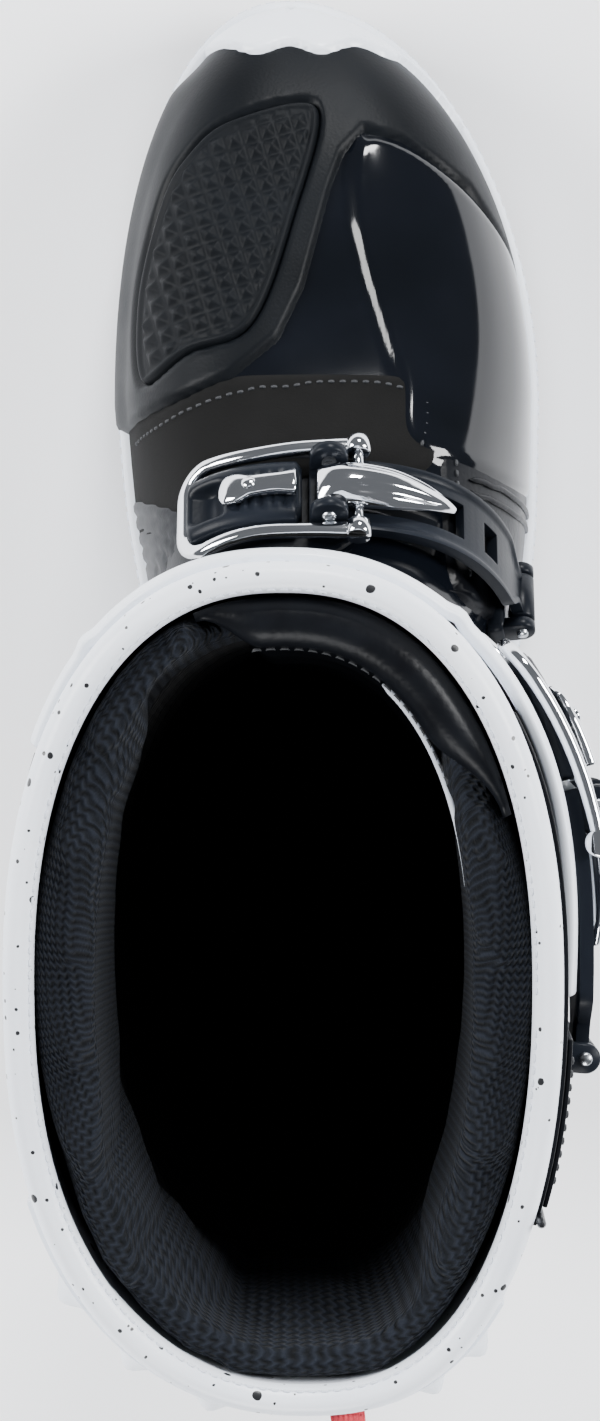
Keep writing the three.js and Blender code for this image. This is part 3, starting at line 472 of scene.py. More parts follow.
def wovenTape():  # flat woven polyester tape, ribs 1.2 mm apart
    material, tree, shader, place = newMaterial("polyesterTapeWoven", IOR=1.5)
    mottled(tree, shader, place, "#A51F2B", "#CF3542", 5, 0.6, 0.75)
    ribs = addNode(tree, "TexWave", {"Vector": place, "Scale": perMm(1.2) / math.tau * 2},
        bands_direction="X")
    raised(tree, shader, ribs.outputs["Fac"], 0.2)
    return material


dull = {"Specular IOR Level": 0.1}  # dark goods with a fine grain throw back less light than a clean polymer
# injected clean black polymer: near mirror, long hard highlights
glossBlack = mouldedPlastic("tpuGlossMoulded", "#06080C", "#0B0E14", 0.06, 0.14,
    **{"Specular IOR Level": 0.3, "Coat Weight": 0.12, "Coat Roughness": 0.04})
# injected black polymer from a lightly etched mould: soft blue-black sheen
satinBlack = mouldedPlastic("tpuSatinMoulded", "#0A0C10", "#101319", 0.34, 0.46, 0.9, 0.03, **dull)
# moulded rubber rim: even soft satin, a little deeper than the plastics
overlayRubber = mouldedPlastic("rubberSatinMoulded", "#07090C", "#0C0F13", 0.4, 0.52, 0.8, 0.035, **dull)
# moulded rubber with pyramids: satin, its peaks catch the light
padRubber = mouldedPlastic("rubberPadMoulded", "#07090C", "#0D1014", 0.5, 0.62, 0.7, 0.03, **dull)
# pressed outsole rubber: dull dark grey
soleRubber = mouldedPlastic("rubberSoleMoulded", "#2B2C2F", "#393A3E", 0.7, 0.85, 0.8, 0.06)
# injected nylon straps: slate-dark, low gloss
strapPlastic = mouldedPlastic("nylonStrapMoulded", "#0E1116", "#171B22", 0.28, 0.4, 1.0, 0.02, **dull)
# injected white plates: smooth, faint blue-white, soft highlights
whitePlastic = mouldedPlastic("tpuWhiteMoulded", "#E0E7F1", "#ECF1F9", 0.22, 0.34)
# white rand: flatter and slightly grained
whiteMatt = mouldedPlastic("rubberWhiteMoulded", "#DCE3EE", "#E9EEF6", 0.4, 0.52, 1.2, 0.03)
# pressed fibre board under the foot, hardly ever seen
boardGrey = mouldedPlastic("fibreboardPressed", "#3A3A3C", "#4A4A4D", 0.8, 0.9, 1.5, 0.08)
# coated black leather: fine grain, satin
flapLeather = leather("leatherBlackCoated", "#0A0B0E", "#101216", 0.3, 0.42, 1.3, 0.06, **dull)
# coated white hide with scattered black flecks
whiteHide = flecked()
# brushed microfibre: nearly no gloss
microfibre = sueded()
# padding cover: rows of black yarn, visible weave, with painted shade in the gaps between the loops
knit = knitted("polyesterKnitBlack", "#1A1E26", "#030405", 1.9, 0.35, 49)
# sleeve and foot lining: the same knit, finer to the eye and darker, with painted shade in its gaps
darkKnit = knitted("polyesterKnitInner", "#0B0C0F", "#030304", 2.6, 0.2, 49)
# plated zinc: bright mirror with faint polishing marks
chrome = metal("zincChromePlated", "#E6E8EC", 0.04, 0.11, 30)
# turned stainless: greyer and softer than the plating
steel = metal("stainlessTurned", "#B5B8BC", 0.22, 0.36, 8)
# woven tape: dull red, tiny ribs
redTape = wovenTape()
# sewing thread on the black pieces
threadBlack = mouldedPlastic("polyesterThreadBlack", "#16181C", "#222529", 0.55, 0.7)
# sewing thread and piping on the pale pieces
threadWhite = mouldedPlastic("polyesterThreadWhite", "#C9D0DC", "#DDE3EC", 0.5, 0.65)
print("materials made:", len(bpy.data.materials))


# ---- grids on the two forms ----
# rows across the foot form, from its left foot edge to its right
def footGrid(ys, columns, low=20.0, cut=None):
    rows = []
    for y in ys:
        left, right = edges(y, sole["lip"])
        ridge, tall, up = float(footRidge(y)), float(footHeight(y)) - sole["floor"], float(lift(y))
        c = np.sin(np.linspace(-math.pi / 2, math.pi / 2, 241))
        sine = np.sqrt(np.maximum(0, 1 - np.abs(c) ** (2 / float(footSide(y)))))
        z = sole["floor"] + tall * sine ** float(footRoof(y)) + up
        x = ridge + np.where(c > 0, right - ridge, ridge - left) * c
        halves = []
        for part in (slice(0, 121), slice(120, 241)):
            px, pz = x[part], z[part]
            top = min(pz.max(), cut(y)) if cut else pz.max()
            base = min(low + up, top - 0.05)
            want = np.linspace(0, 1, columns)
            if part.start:
                px, pz = px[::-1], pz[::-1]
            keep = (pz > base) & (pz < top)
            ends = np.interp([base, top], pz, px)
            hx = np.concatenate([[ends[0]], px[keep], [ends[1]]])
            hz = np.concatenate([[base], pz[keep], [top]])
            run = np.concatenate([[0], np.cumsum(np.hypot(np.diff(hx), np.diff(hz)))])
            run = run / max(run[-1], 1e-9)
            halves.append((np.interp(want, run, hx), np.interp(want, run, hz)))
        (lx, lz), (rx, rz) = halves
        rows.append(np.stack([np.concatenate([lx, rx[::-1]]), np.full(2 * columns, y),
                              np.concatenate([lz, rz[::-1]])], axis=1))
    return np.array(rows)


def outNormals(grid):
    # the two middle columns may lie on each other, so the slopes step over them
    along = np.gradient(grid, axis=0)
    half = grid.shape[1] // 2
    across = np.concatenate([np.gradient(grid[:, :half], axis=1), np.gradient(grid[:, half:], axis=1)],
        axis=1)
    n = np.cross(across, along)
    n /= np.maximum(np.linalg.norm(n, axis=2, keepdims=True), 1e-9)
    gap = np.linalg.norm(grid[:, half] - grid[:, half - 1], axis=1) < 0.02
    shared = n[:, half - 1] + n[:, half]
    shared /= np.maximum(np.linalg.norm(shared, axis=1, keepdims=True), 1e-9)
    n[gap, half - 1] = shared[gap]
    n[gap, half] = shared[gap]
    if n[len(n) // 2, half][2] < 0:
        n = -n
    return n


def footStations(start, pitch):
    tip = sole["length"] - sole["lip"] * sole["toeInset"]
    straight = np.arange(start, 284, pitch)
    turn = np.linspace(0, math.pi / 2, int(44 / pitch) + 6)[1:]
    return np.concatenate([straight, straight[-1] + (tip - 0.05 - straight[-1]) * np.sin(turn)])


def patch(name, grid, normals, reach, thick, body, material, under=0.6, soft=1.4, extra=None):
    # a thin piece laid on a form: it rises where the signed distance `reach` is positive
    # and dives in beyond its edge
    inside = reach(grid[..., 0], grid[..., 1], grid[..., 2])
    off = -under + (thick + under) * smooth(inside, -0.7, soft)
    if extra is not None:
        off = off + extra(grid, inside)
    made = grid + normals * off[..., None]
    near = inside > -2.2
    keep = near[:-1, :-1] | near[1:, :-1] | near[:-1, 1:] | near[1:, 1:]
    return sheetPiece(name, made, 0.5, body, material, footAxis, keep=keep)


def legGrid(angles, rows, off, low, high):
    angles = np.asarray(angles, float)
    a, u = np.meshgrid(angles, np.linspace(0, 1, rows), indexing="ij")
    z0 = (low(a) if callable(low) else np.full(a.shape, float(low)))
    z1 = (high(a) if callable(high) else np.full(a.shape, float(high)))
    z = z0 + (z1 - z0) * u
    return legPoint(a, z, off(a, z, u) if callable(off) else off)


def outline(inset):  # the sole's outline as a closed loop
    heel = inset + (sole["heelRound"] - inset) * (1 - np.cos(np.linspace(0, math.pi / 2, 14)))
    straight = np.linspace(sole["heelRound"], sole["ballAt"], 44)[1:-1]
    tip = sole["length"] - inset * sole["toeInset"]
    toe = sole["ballAt"] + (tip - sole["ballAt"]) * np.sin(np.linspace(0, math.pi / 2, 46))
    ys = np.concatenate([heel, straight, toe])
    both = [edges(y, inset) for y in ys]
    loop = [(r, y) for (l, r), y in zip(both, ys)] + [(l, y) for (l, r), y in list(zip(both, ys))[-2:0:-1]]
    return np.array([(x, y, lift(y)) for x, y in loop])


def soleRings(name, profile, body, material, endless=False):  # profile: [inset, height] pairs
    rings = [outline(inset) + [0, 0, z] for inset, z in profile]
    n = len(rings[0])
    count = len(rings)
    faces = [(i * n + k, i * n + (k + 1) % n, (i + 1) % count * n + (k + 1) % n, (i + 1) % count * n + k)
             for i in range(count if endless else count - 1) for k in range(n)]
    if not endless:
        faces += [tuple(range(n))[::-1], tuple((count - 1) * n + k for k in range(n))]
    piece = newPiece(name, np.concatenate(rings), faces, material=material)
    faceOut(piece)
    if body:
        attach(piece, body)
    return piece


def loftPiece(name, rings, body, material, endless=False, sub=0):
    rings = np.asarray(rings, float)
    count, n = rings.shape[:2]
    faces = [(i * n + k, i * n + (k + 1) % n, (i + 1) % count * n + (k + 1) % n, (i + 1) % count * n + k)
             for i in range(count if endless else count - 1) for k in range(n)]
    if not endless:
        faces += [tuple(range(n))[::-1], tuple((count - 1) * n + k for k in range(n))]
    piece = newPiece(name, rings.reshape(-1, 3), faces, material=material)
    faceOut(piece)
    if sub:
        rounder = piece.modifiers.new("round", "SUBSURF")
        rounder.levels = rounder.render_levels = sub
        settle(piece)
        piece.data.shade_smooth()
    if body:
        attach(piece, body)
    return piece


def joined(name, pieces, body):  # several meshes of one physical piece
    tool = bmesh.new()
    for p in pieces:
        tool.from_mesh(p.data)
    mesh = bpy.data.meshes.new(name)
    tool.to_mesh(mesh)
    tool.free()
    mesh.materials.append(pieces[0].data.materials[0])
    mesh.shade_smooth()
    for p in pieces:
        bpy.data.objects.remove(p)
    piece = bpy.data.objects.new(name, mesh)
    bpy.context.scene.collection.objects.link(piece)
    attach(piece, body)
    return piece


def turnedMesh(name, centre, axis, profile, material, sides=40):

    axis = np.asarray(axis, float) / np.linalg.norm(axis)
    helper = np.array([0, 0, 1.0]) if abs(axis[2]) < 0.9 else np.array([1.0, 0, 0])
    u = np.cross(axis, helper)
    u /= np.linalg.norm(u)
    v = np.cross(axis, u)
    rings = []
    for r, w in profile:
        a = np.linspace(0, math.tau, sides, endpoint=False)[:, None]
        rings.append(np.asarray(centre) + axis * w + max(r, 0.01) * (np.cos(a) * u + np.sin(a) * v))
    return loftPiece(name, rings, None, material)


def stitchRow(name, line, normals, body, slot, material, pitch=3.2, long=2.2, thick=0.55, sink=0.1):
    line, normals = np.asarray(line, float), np.asarray(normals, float)
    run = np.concatenate([[0], np.cumsum(np.linalg.norm(np.diff(line, axis=0), axis=1))])
    at = lambda s, rows: np.array([np.interp(s, run, rows[:, k]) for k in range(3)])
    points, faces = [], []
    for s in np.arange(pitch / 2, run[-1] - pitch / 2, pitch):
        here, ahead = at(s, line), at(s + 0.3, line)
        along = (ahead - here) / max(np.linalg.norm(ahead - here), 1e-9)
        out = at(s, normals)
        out /= max(np.linalg.norm(out), 1e-9)
        side = np.cross(along, out)
        start = len(points)
        for w, r in ((-0.5, 0.25), (-0.34, 0.85), (0, 1.0), (0.34, 0.85), (0.5, 0.25)):
            for k in range(6):
                a = k * math.tau / 6
                points.append(here + along * w * long + (side * math.cos(a) + out * math.sin(a)) * r * thick
                              + out * (thick * r - thick - sink * (abs(w) > 0.4)))
        for i in range(4):
            faces += [(start + i * 6 + k, start + i * 6 + (k + 1) % 6, start + i * 6 + 6 + (k + 1) % 6,
                       start + i * 6 + 6 + k) for k in range(6)]
        faces += [tuple(start + k for k in range(6))[::-1], tuple(start + 24 + k for k in range(6))]
    piece = newPiece(name, points, faces, material=material, weld=False)
    faceOut(piece)
    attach(piece, body)
    return piece


def pipe(name, line, radius, body, material, flat=1.0, normals=None):
    line = np.asarray(line, float)
    along = np.gradient(line, axis=0)
    along /= np.linalg.norm(along, axis=1, keepdims=True)
    up = np.asarray(normals, float) if normals is not None else np.tile([0, 0, 1.0], (len(line), 1))
    side = np.cross(along, up)
    side /= np.maximum(np.linalg.norm(side, axis=1, keepdims=True), 1e-9)
    up = np.cross(side, along)
    rings = []
    for i, p in enumerate(line):
        r = radius * min(1.0, 0.35 + 0.65 * min(i, len(line) - 1 - i) / 2)
        a = np.linspace(0, math.tau, 12, endpoint=False)[:, None]
        rings.append(p + r * (np.cos(a) * side[i] + flat * np.sin(a) * up[i]))
    return loftPiece(name, rings, body, material)


# ---- what lies inside which form ----
def inLeg(points, off):
    x, y, z = points[..., 0], points[..., 1], points[..., 2]
    v = np.abs(y - legMiddleY(z)) / (legHalfY(z) + off)
    back = np.where(y < legMiddleY(z), -(np.minimum(1, v) ** (legSquare / 2)), 0)
    u = np.abs(x - legMiddleX(z) - calfSkew(back, z)) / (legHalfX(z) + off)
    return u**legSquare + v**legSquare < 1


def inFoot(points, off):
    flat = points.reshape(-1, 3)
    out = np.zeros(len(flat), bool)
    for i, (x, y, z) in enumerate(flat):
        if not 60 < y < sole["length"] - 7:
            continue
        left, right = edges(y, sole["lip"] - off)
        ridge = float(footRidge(y))
        u = (x - ridge) / (right - ridge) if x > ridge else (ridge - x) / (ridge - left)
        if u < 1:
            c = u ** (1 / float(footSide(y)))
            tall = float(footHeight(y)) - sole["floor"] + off
            out[i] = z - lift(y) < sole["floor"] + tall * math.sqrt(1 - c * c) ** float(footRoof(y))
    return out.reshape(points.shape[:-1])


def anyCorner(mask):
    return mask[:-1, :-1] | mask[1:, :-1] | mask[:-1, 1:] | mask[1:, 1:]


# ---- sole ----
outsoleLook = {"edge": 1.0, "chamfer": 0.9, "channel": 3.0}


def treadLugs():
    lugs = []
    c = outsoleLook["chamfer"]
    for i in range(int(sole["length"] / sole["pitch"])):
        y0 = sole["pitch"] * i + sole["gap"] if i else 3.0
        y1 = min(sole["pitch"] * (i + 1), sole["length"] - 4.5)
        if y1 - y0 < 4:
            continue
        ys = [y0, y0 + c, *np.linspace(y0 + c, y1 - c, 5)[1:-1], y1 - c, y1]
        for side in (-1, 1):
            rings = []
            for k, y in enumerate(ys):
                left, right = edges(y, outsoleLook["edge"] + 0.2)
                middle = float(sole["heelX"] + 3 * smooth(y, 60, 200)) + side * outsoleLook["channel"] / 2
                a, b = (left, middle) if side < 0 else (middle, right)
                end = c if k in (0, len(ys) - 1) else 0.0
                up = lift(y)
                rings.append([(a, y, 3.6 + up), (a + end, y, end + up + 0.3), (a + c, y, end + up), (b - c,
                    y, end + up),
                              (b - end, y, end + up + 0.3), (b, y, 3.6 + up)])
            lugs.append(loftPiece("lug", rings, None, soleRubber))
    return lugs


outsoleBody = soleRings("outsoleBody", [[3.0, 3.0], [1.4, 3.2], [1.0, 3.8], [1.0, 7.9], [1.5, 8.7]], None,
    soleRubber)
outsole = joined("outsoleTread", [outsoleBody, *treadLugs()], "foot")
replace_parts(outsole, "outsole")

rand = soleRings("randWhite", [[1.4, 9.0], [0.3, 9.3], [0.0, 10.2], [0.0, 15.4], [0.7, 16.0], [0.7, 16.8],
    [0.0, 17.4],
                               [0.0, 24.4], [0.35, 25.4], [1.2, 26.0], [4.6, 26.1], [6.0, 25.2], [7.0,
                                   20.0], [7.0, 9.2]],
                 "foot", whiteMatt, endless=True)
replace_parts(rand, "midsole")
randLine = outline(-0.05) + [0, 0, 22.0]
outward = np.cross(np.gradient(randLine, axis=0), [0, 0, 1.0])
stitchRow("randStitches", randLine[3:-3], -outward[3:-3], "foot", "midsole_white", threadWhite, 4.2, 2.8,
    0.5)
print("sole done")

# ---- glossy shell of the foot ----
shellLook = {"wall": 3.0, "panelRise": 2.2, "crest": 1.1, "crestWide": 3.4}
shellRidge = np.array([(20.5, 273), (19, 262), (19.5, 250), (22.5, 236), (26, 224), (29.5, 212), (31, 203)])
shellPanel = rounded([(21, 272), (19.5, 250), (26, 224), (31, 203), (33, 186), (50, 178), (72, 172), (78,
    190), (74, 216),
                      (66, 240), (52, 258), (34, 271)], 90)

footBase = footGrid(footStations(60, 1.5), 96, 20, ankleLine)
footOut = outNormals(footBase)


def lineDistance(points, line):
    p = points.reshape(-1, 2)
    best = np.full(len(p), 1e9)
    for a, b in zip(line[:-1], line[1:]):
        e = b - a
        t = np.clip(((p - a) @ e) / (e @ e), 0, 1)
        best = np.minimum(best, np.linalg.norm(p - a - t[:, None] * e, axis=1))
    return best.reshape(points.shape[:-1])


def footPlan(grid):
    return np.stack([grid[..., 0], grid[..., 1]], axis=-1)


def shellOffset(grid):
    plan = footPlan(grid)
    inside = inwards(plan, shellPanel).reshape(plan.shape[:-1])
    crest = shellLook["crest"] * bump(lineDistance(plan, shellRidge), 0, shellLook["crestWide"])
    return shellLook["panelRise"] * smooth(inside, -1.2, 3.2) + crest * smooth(grid[..., 1], 200, 214)


def footShell(name, off, wall, low, drop, material, extra=None):
    grid = footBase + footOut * off
    if extra:
        grid = grid + footOut * extra(footBase)[..., None]
    keep = anyCorner(~inLeg(grid, off - 0.6))
    keep[:, grid.shape[1] // 2 - 1] = False
    keep &= (grid[:-1, :-1, 2] > low - 3)
    front = sheetPiece(name + "Front", grid, wall, None, material, footAxis, keep=keep, rim=0.5)
    angles = np.arange(0, 360, 2.5)
    heel = legGrid(angles, 44, off, low, lambda a: ankleAt(a) - drop)
    inner = inFoot(heel, off - 0.6)
    rolled = np.roll(inner, -1, axis=0)
    keep = ~(inner[:, :-1] & inner[:, 1:] & rolled[:, :-1] & rolled[:, 1:])
    back = sheetPiece(name + "Heel", heel, wall, None, material, legAxis, closed=True, keep=keep,
        rim=0.5)
    return joined(name, [front, back], "foot")


vamp = footShell("vampShell", 0.0, shellLook["wall"], 20.0, 0.0, glossBlack, shellOffset)
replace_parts(vamp, "vamp_shell")
innerFoot = footShell("footLiningKnit", -4.2, 2.2, 29.0, 9.0, darkKnit)
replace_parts(innerFoot, "foot_lining")
print("foot shell done")


# ---- pieces on the vamp ----
def layer(name, shape, thick, material, soft=1.4, under=0.6, extra=None, grid=None, out=None):
    base = footBase if grid is None else grid
    normals = footOut if out is None else out
    reach = lambda x, y, z: inwards(np.stack([x, y], axis=-1), shape).reshape(x.shape)
    return patch(name, base, normals, reach, thick, "foot", material, under, soft, extra)


padShape = rounded([(-27, 268), (-15, 278), (9, 281.5), (2.5, 250), (-9, 219), (-26, 211.5), (-39, 204),
    (-40.5, 228), (-34, 255)],
                   80)
padLook = {"pitch": 4.7, "height": 1.3, "thick": 2.2}
overlayShape = np.array([(-46, 190), (-35.6, 195.6), (-14.5, 204.6), (-2, 215), (5, 230), (12.4, 258), (16,
    268), (22, 274.5),
                         (32, 272), (50, 259), (61, 243), (68, 221), (73, 200), (95, 200), (95, 345), (-80,
                             345), (-80, 178), (-56, 181)])


def overlayReach(x, y, z):
    plan = np.stack([x, y], axis=-1)
    whole = inwards(plan, overlayShape).reshape(x.shape)
    hole = inwards(plan, padShape).reshape(x.shape)
    return np.minimum(whole, -hole + 0.4)


def overlayFlare(grid, inside):  # on the inner side the rubber runs out over the rand
    low = 1 - smooth(grid[..., 2] - lift(grid[..., 1]), 22, 44)
    return 2.6 * low * smooth(-grid[..., 0], 5, 30) * smooth(inside, 0, 3) * (1 - smooth(grid[..., 1], 286,
        297))


def padBumps(grid, inside):  # rows of small pyramids inside a plain frame
    turn = math.radians(-17)
    u = (grid[..., 0] * math.cos(turn) - grid[..., 1] * math.sin(turn)) / padLook["pitch"]
    v = (grid[..., 0] * math.sin(turn) + grid[..., 1] * math.cos(turn)) / padLook["pitch"]
    du, dv = np.abs(u - np.round(u)) * 2, np.abs(v - np.round(v) - 0.12) * 2
    peak = np.clip(1.25 - 1.5 * np.maximum(du, dv), 0, 1)
    return padLook["height"] * peak * smooth(inside, 2.6, 3.6) + 0.7 * bump(inside, 1.6, 1.0)


overlay = patch("toeOverlay", footBase, footOut, overlayReach, 2.4, "foot", overlayRubber,
    extra=overlayFlare)
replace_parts(overlay, "shift_overlay")
padGrid = footGrid(np.arange(199, 286, 0.62), 240, 26)
padOut = outNormals(padGrid)
shiftPad = layer("shiftPad", padShape, padLook["thick"], padRubber, 1.0, 0.6, padBumps,
    padGrid, padOut)
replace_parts(shiftPad, "shift_pad")

guardLook = {"rear": 297.5, "wave": 1.2, "waveLong": 9.0, "thick": 4.4}


def guardReach(x, y, z):
    g = guardLook
    side = 5.6 * smooth(x - sole["toeX"], 22, 46)  # the outer corner sweeps back along the rim
    low = 16 * (1 - smooth(z - lift(y), 26, 34)) * smooth(y, 262, 280) * smooth(x, 4, 24)
    return y - g["rear"] - g["wave"] * np.cos((x - sole["toeX"]) / g["waveLong"] * math.tau / 2) + side + low


guard = patch("toeGuard", footBase, footOut, guardReach, guardLook["thick"], "foot",
    whitePlastic, soft=1.0)
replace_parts(guard, "toe_guard")

bandShape = rounded([(-80, 150), (-80, 190), (-50, 191), (-42, 194), (-29, 198.5), (-15, 204), (4, 205.2),
    (30, 204.6), (40, 202.5), (41, 190),
                     (38, 178), (10, 174), (-10, 171), (-27, 166), (-44, 158)], 110)
band = layer("instepBand", bandShape, 1.5, microfibre, 1.1)
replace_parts(band, "instep_panel")
quarterShape = rounded([(44, 202), (58, 200), (70, 194), (80, 182), (80, 140), (62, 136), (46, 146), (43,
    178)], 80)
layer("quarterOuter", quarterShape, 1.3, flapLeather, 1.0)
innerShape = rounded([(-80, 172), (-52, 177), (-40, 172), (-26, 166), (-19, 156), (-20, 142), (-34, 130),
    (-56, 118), (-80, 118)],
                     100)


def steps(grid, inside):  # stepped grooves that follow the panel's edge
    return sum(-0.7 * smooth(inside, at, at + 0.7) + 0.55 * smooth(inside, at + 1.4, at + 2.2) for at in (3,
        7, 11, 15))


inner = layer("quarterInner", innerShape, 2.2, satinBlack, 1.2, extra=steps)


def onFoot(line, off):  # points of the foot's surface above a line in plan, with their outward directions
    p = np.asarray(line, float)
    dense = np.concatenate([np.linspace(a, b, 12)[:-1] for a, b in zip(p[:-1], p[1:])] + [p[-1:]])
    flat = footBase.reshape(-1, 3)
    normals = footOut.reshape(-1, 3)
    near = [int(np.argmin(np.hypot(flat[:, 0] - x, flat[:, 1] - y))) for x, y in dense]
    spots, out = flat[near] + normals[near] * off, normals[near]
    for _ in range(6):
        spots[1:-1] = (spots[:-2] + 2 * spots[1:-1] + spots[2:]) / 4
    return spots, out


def seam(name, line, off, slot, material, **look):
    spots, out = onFoot(line, off)
    return stitchRow(name, spots, out, "foot", slot, material, **look)


seam("bandStitches", [(-41, 188), (-30, 193.6), (-20, 197.8), (-8, 200.6), (4, 201.8), (29, 201.8), (37,
    199.5)], 1.6, "microfibre_black", threadBlack)
seam("bandEndStitches", [(38, 198), (38.4, 190), (36, 181)], 1.75, "microfibre_black", threadBlack)
seam("quarterStitches", [(47, 199), (58, 197), (68, 191.5)], 1.6, "microfibre_black", threadBlack)
seam("quarterStitchesLow", [(46.5, 196), (46, 180), (48, 160), (50, 146)], 1.6, "microfibre_black",
    threadBlack)
for number, back in enumerate((0.0, 4.2)):
    spots, out = onFoot([(50, 176 - back), (58, 174 - back), (66, 170 - back), (71, 165 - back)], 1.5)
    pipe(f"quarterPiping{number}", spots, 0.9, "foot", flapLeather, normals=out)
print("vamp pieces done")

heelLook = {"thick": 3.0, "step": 0.9}


def heelOff(a, z, u):
    waist = 1 - smooth(np.abs(u - 0.5), 0.18, 0.24)
    return heelLook["thick"] - heelLook["step"] * waist - 1.2 * (1 - smooth(u, 0, 0.06))


heel = sheetPiece("heelCounter", legGrid(np.arange(-160, -19.5, 1.5), 60, heelOff, 26.4,
    lambda a: ankleAt(a) - 6), 2.4,
                  "foot", satinBlack, legAxis, rim=0.8)
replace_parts(heel, "heel_counter")

bedRings = [outline(inset) + [0, 0, z] for inset, z in ((9.5, 23.4), (8.6, 24.4), (8.4, 29.6), (9.6, 30.0),
    (13, 28.4), (20, 28.0),
                                                       (30, 28.0))]
for ring in bedRings:
    ring[:, 1] = np.clip(ring[:, 1], 12, sole["length"] - 14)
bed = loftPiece("footbedKnit", bedRings, "foot", darkKnit)
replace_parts(bed, "footbed")
frame["nodes"]["insole_board"].data.materials.clear()
frame["nodes"]["insole_board"].data.materials.append(boardGrey)
frame["nodes"]["shank"].data.materials.clear()
frame["nodes"]["shank"].data.materials.append(steel)

# ---- ankle ----
foldLook = {"folds": 5, "depth": 3.4, "seat": -4.6}


def foldOff(a, z, u):
    hill = np.sin(np.pi * foldLook["folds"] * u) ** 2
    spread = smooth(u, 0.02, 0.2) * (1 - smooth(u, 0.8, 0.98))
    return (foldLook["seat"] + foldLook["depth"] * hill * spread
            + 0.25 * np.sin(np.radians(a) * 23 + u * 9) * spread)


bellows = sheetPiece("ankleBellows", legGrid(np.arange(0, 360, 2.5), 76, foldOff, lambda a: ankleAt(a) - 7,
    lambda a: cuffAt(a) + 14),
                     1.2, None, microfibre, legAxis, closed=True)
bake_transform(bellows)
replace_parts(bellows, "ankle_bellows")

gaiter = sheetPiece("gaiterShell", legGrid(np.arange(0, 360, 2.5), 70, lambda a, z, u: -0.8 * (1 - smooth(u,
    0, 0.012)),
                                           cuffAt, lambda a: mouthAt(a) - collar["depth"] - 0.3), 2.8,
                    "leg", microfibre, legAxis, closed=True, rim=0.6)
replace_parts(gaiter, "gaiter_shell")


def legLine(angles, height, off):
    angles = np.asarray(angles, float)
    z = height(angles) if callable(height) else np.full(angles.shape, float(height))
    here = legPoint(angles, z, off)
    return here, legPoint(angles, z, off + 1.0) - here


def legSeam(name, angles, height, off, slot, material, **look):
    line, out = legLine(angles, height, off)
    return stitchRow(name, line, out, "leg", slot, material, **look)


legSeam("cuffHemStitches", np.arange(0, 360, 2), lambda a: cuffAt(a) + 5, 0.25, "microfibre_black",
    threadBlack)

# ---- collar ----
collarProfile = np.array([(-4.4, -31.9), (-0.8, -31.9), (0.1, -31), (0.3, -27), (0.3, -16), (0.9, -9), (1.1,
    -5.5), (0.6, -2.6),
                          (-0.6, -0.8), (-2.4, 0.0), (-4.2, -0.2), (-5.6, -1.4), (-6.3, -3.4), (-6.2, -8),
                              (-5.2, -16)])
angles = np.arange(0, 360, 2.0)
rings = np.stack([legPoint(angles, mouthAt(angles) + dz, off) for off, dz in collarProfile], axis=1)
collarPiece = loftPiece("collarHide", rings, "leg", whiteHide, endless=True, sub=1)
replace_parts(collarPiece, "collar")
legSeam("collarStitches", np.arange(0, 360, 2), lambda a: mouthAt(a) - 1.3, -5.4, "collar_white",
    threadWhite, pitch=2.9, long=1.9,
        thick=0.4)
print("leg shell and collar done")

# ---- padded lining ----
padRing = {"outer": -7.0, "inner": -15.0, "top": -3.2, "bottom": -66.0, "voxel": 5.0, "pressure": 4.0,
    "cap": 5.0,
           "tongueFrom": 26.0, "tongueTo": 110.0, "tongueDrop": 13.0}


def ringProfile(outer, inner, top, bottom, rows):
    side = np.linspace(bottom + 1.5, top - 1.5, rows)
    return [(outer - 0.8, bottom), *[(outer, z) for z in side], (outer - 0.8, top), (inner + 0.8, top),
            *[(inner, z) for z in side[::-1]], (inner + 0.8, bottom)]


def puffed(piece, voxel, pressure, cap):  # inflates a closed piece a little, as its stuffing does
    remesh = piece.modifiers.new("even", "REMESH")
    remesh.mode = "VOXEL"
    remesh.voxel_size = voxel / 1000
    settle(piece)
    rest = np.array([v.co for v in piece.data.vertices])
    cloth = piece.modifiers.new("stuffing", "CLOTH")
    cloth.settings.use_pressure = True
    cloth.settings.uniform_pressure_force = pressure
    cloth.settings.effector_weights.gravity = 0
    cloth.settings.quality = 5
    cloth.point_cache.frame_start, cloth.point_cache.frame_end = 1, 20
    for number in range(1, 21):
        bpy.context.scene.frame_set(number)
    settle(piece)
    bpy.context.scene.frame_set(1)
    now = np.array([v.co for v in piece.data.vertices])
    if len(now) == len(rest):
        move = now - rest
        size = np.linalg.norm(move, axis=1, keepdims=True)
        now = rest + move * np.minimum(1, cap / 1000 / np.maximum(size, 1e-9))
        piece.data.vertices.foreach_set("co", now.ravel())
    finer = piece.modifiers.new("finer", "SUBSURF")
    finer.levels = finer.render_levels = 1
    settle(piece)
    piece.data.shade_smooth()
    return piece


profile = ringProfile(padRing["outer"], padRing["inner"], padRing["top"], padRing["bottom"], 12)
angles = np.arange(0, 360, 4.0)
underTongue = smooth(angles, padRing["tongueFrom"], padRing["tongueFrom"] + 10) * (
    1 - smooth(angles, padRing["tongueTo"] - 10, padRing["tongueTo"]))
sink = padRing["tongueDrop"] * underTongue
rings = np.stack([legPoint(angles, mouthAt(angles) + dz - sink * (dz > -30), off) for off, dz in profile],
    axis=1)
topPad = loftPiece("collarPadKnit", rings, None, knit, endless=True)
puffed(topPad, padRing["voxel"], padRing["pressure"], padRing["cap"])
topPad.data.materials.clear()
topPad.data.materials.append(knit)
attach(topPad, "leg")


def sleeveOff(a, z, u):
    quilt = 0.9 * np.abs(np.sin(np.pi * u * 7)) ** 0.5
    return -9.4 - 2.6 * smooth(u, 0.5, 1) - quilt


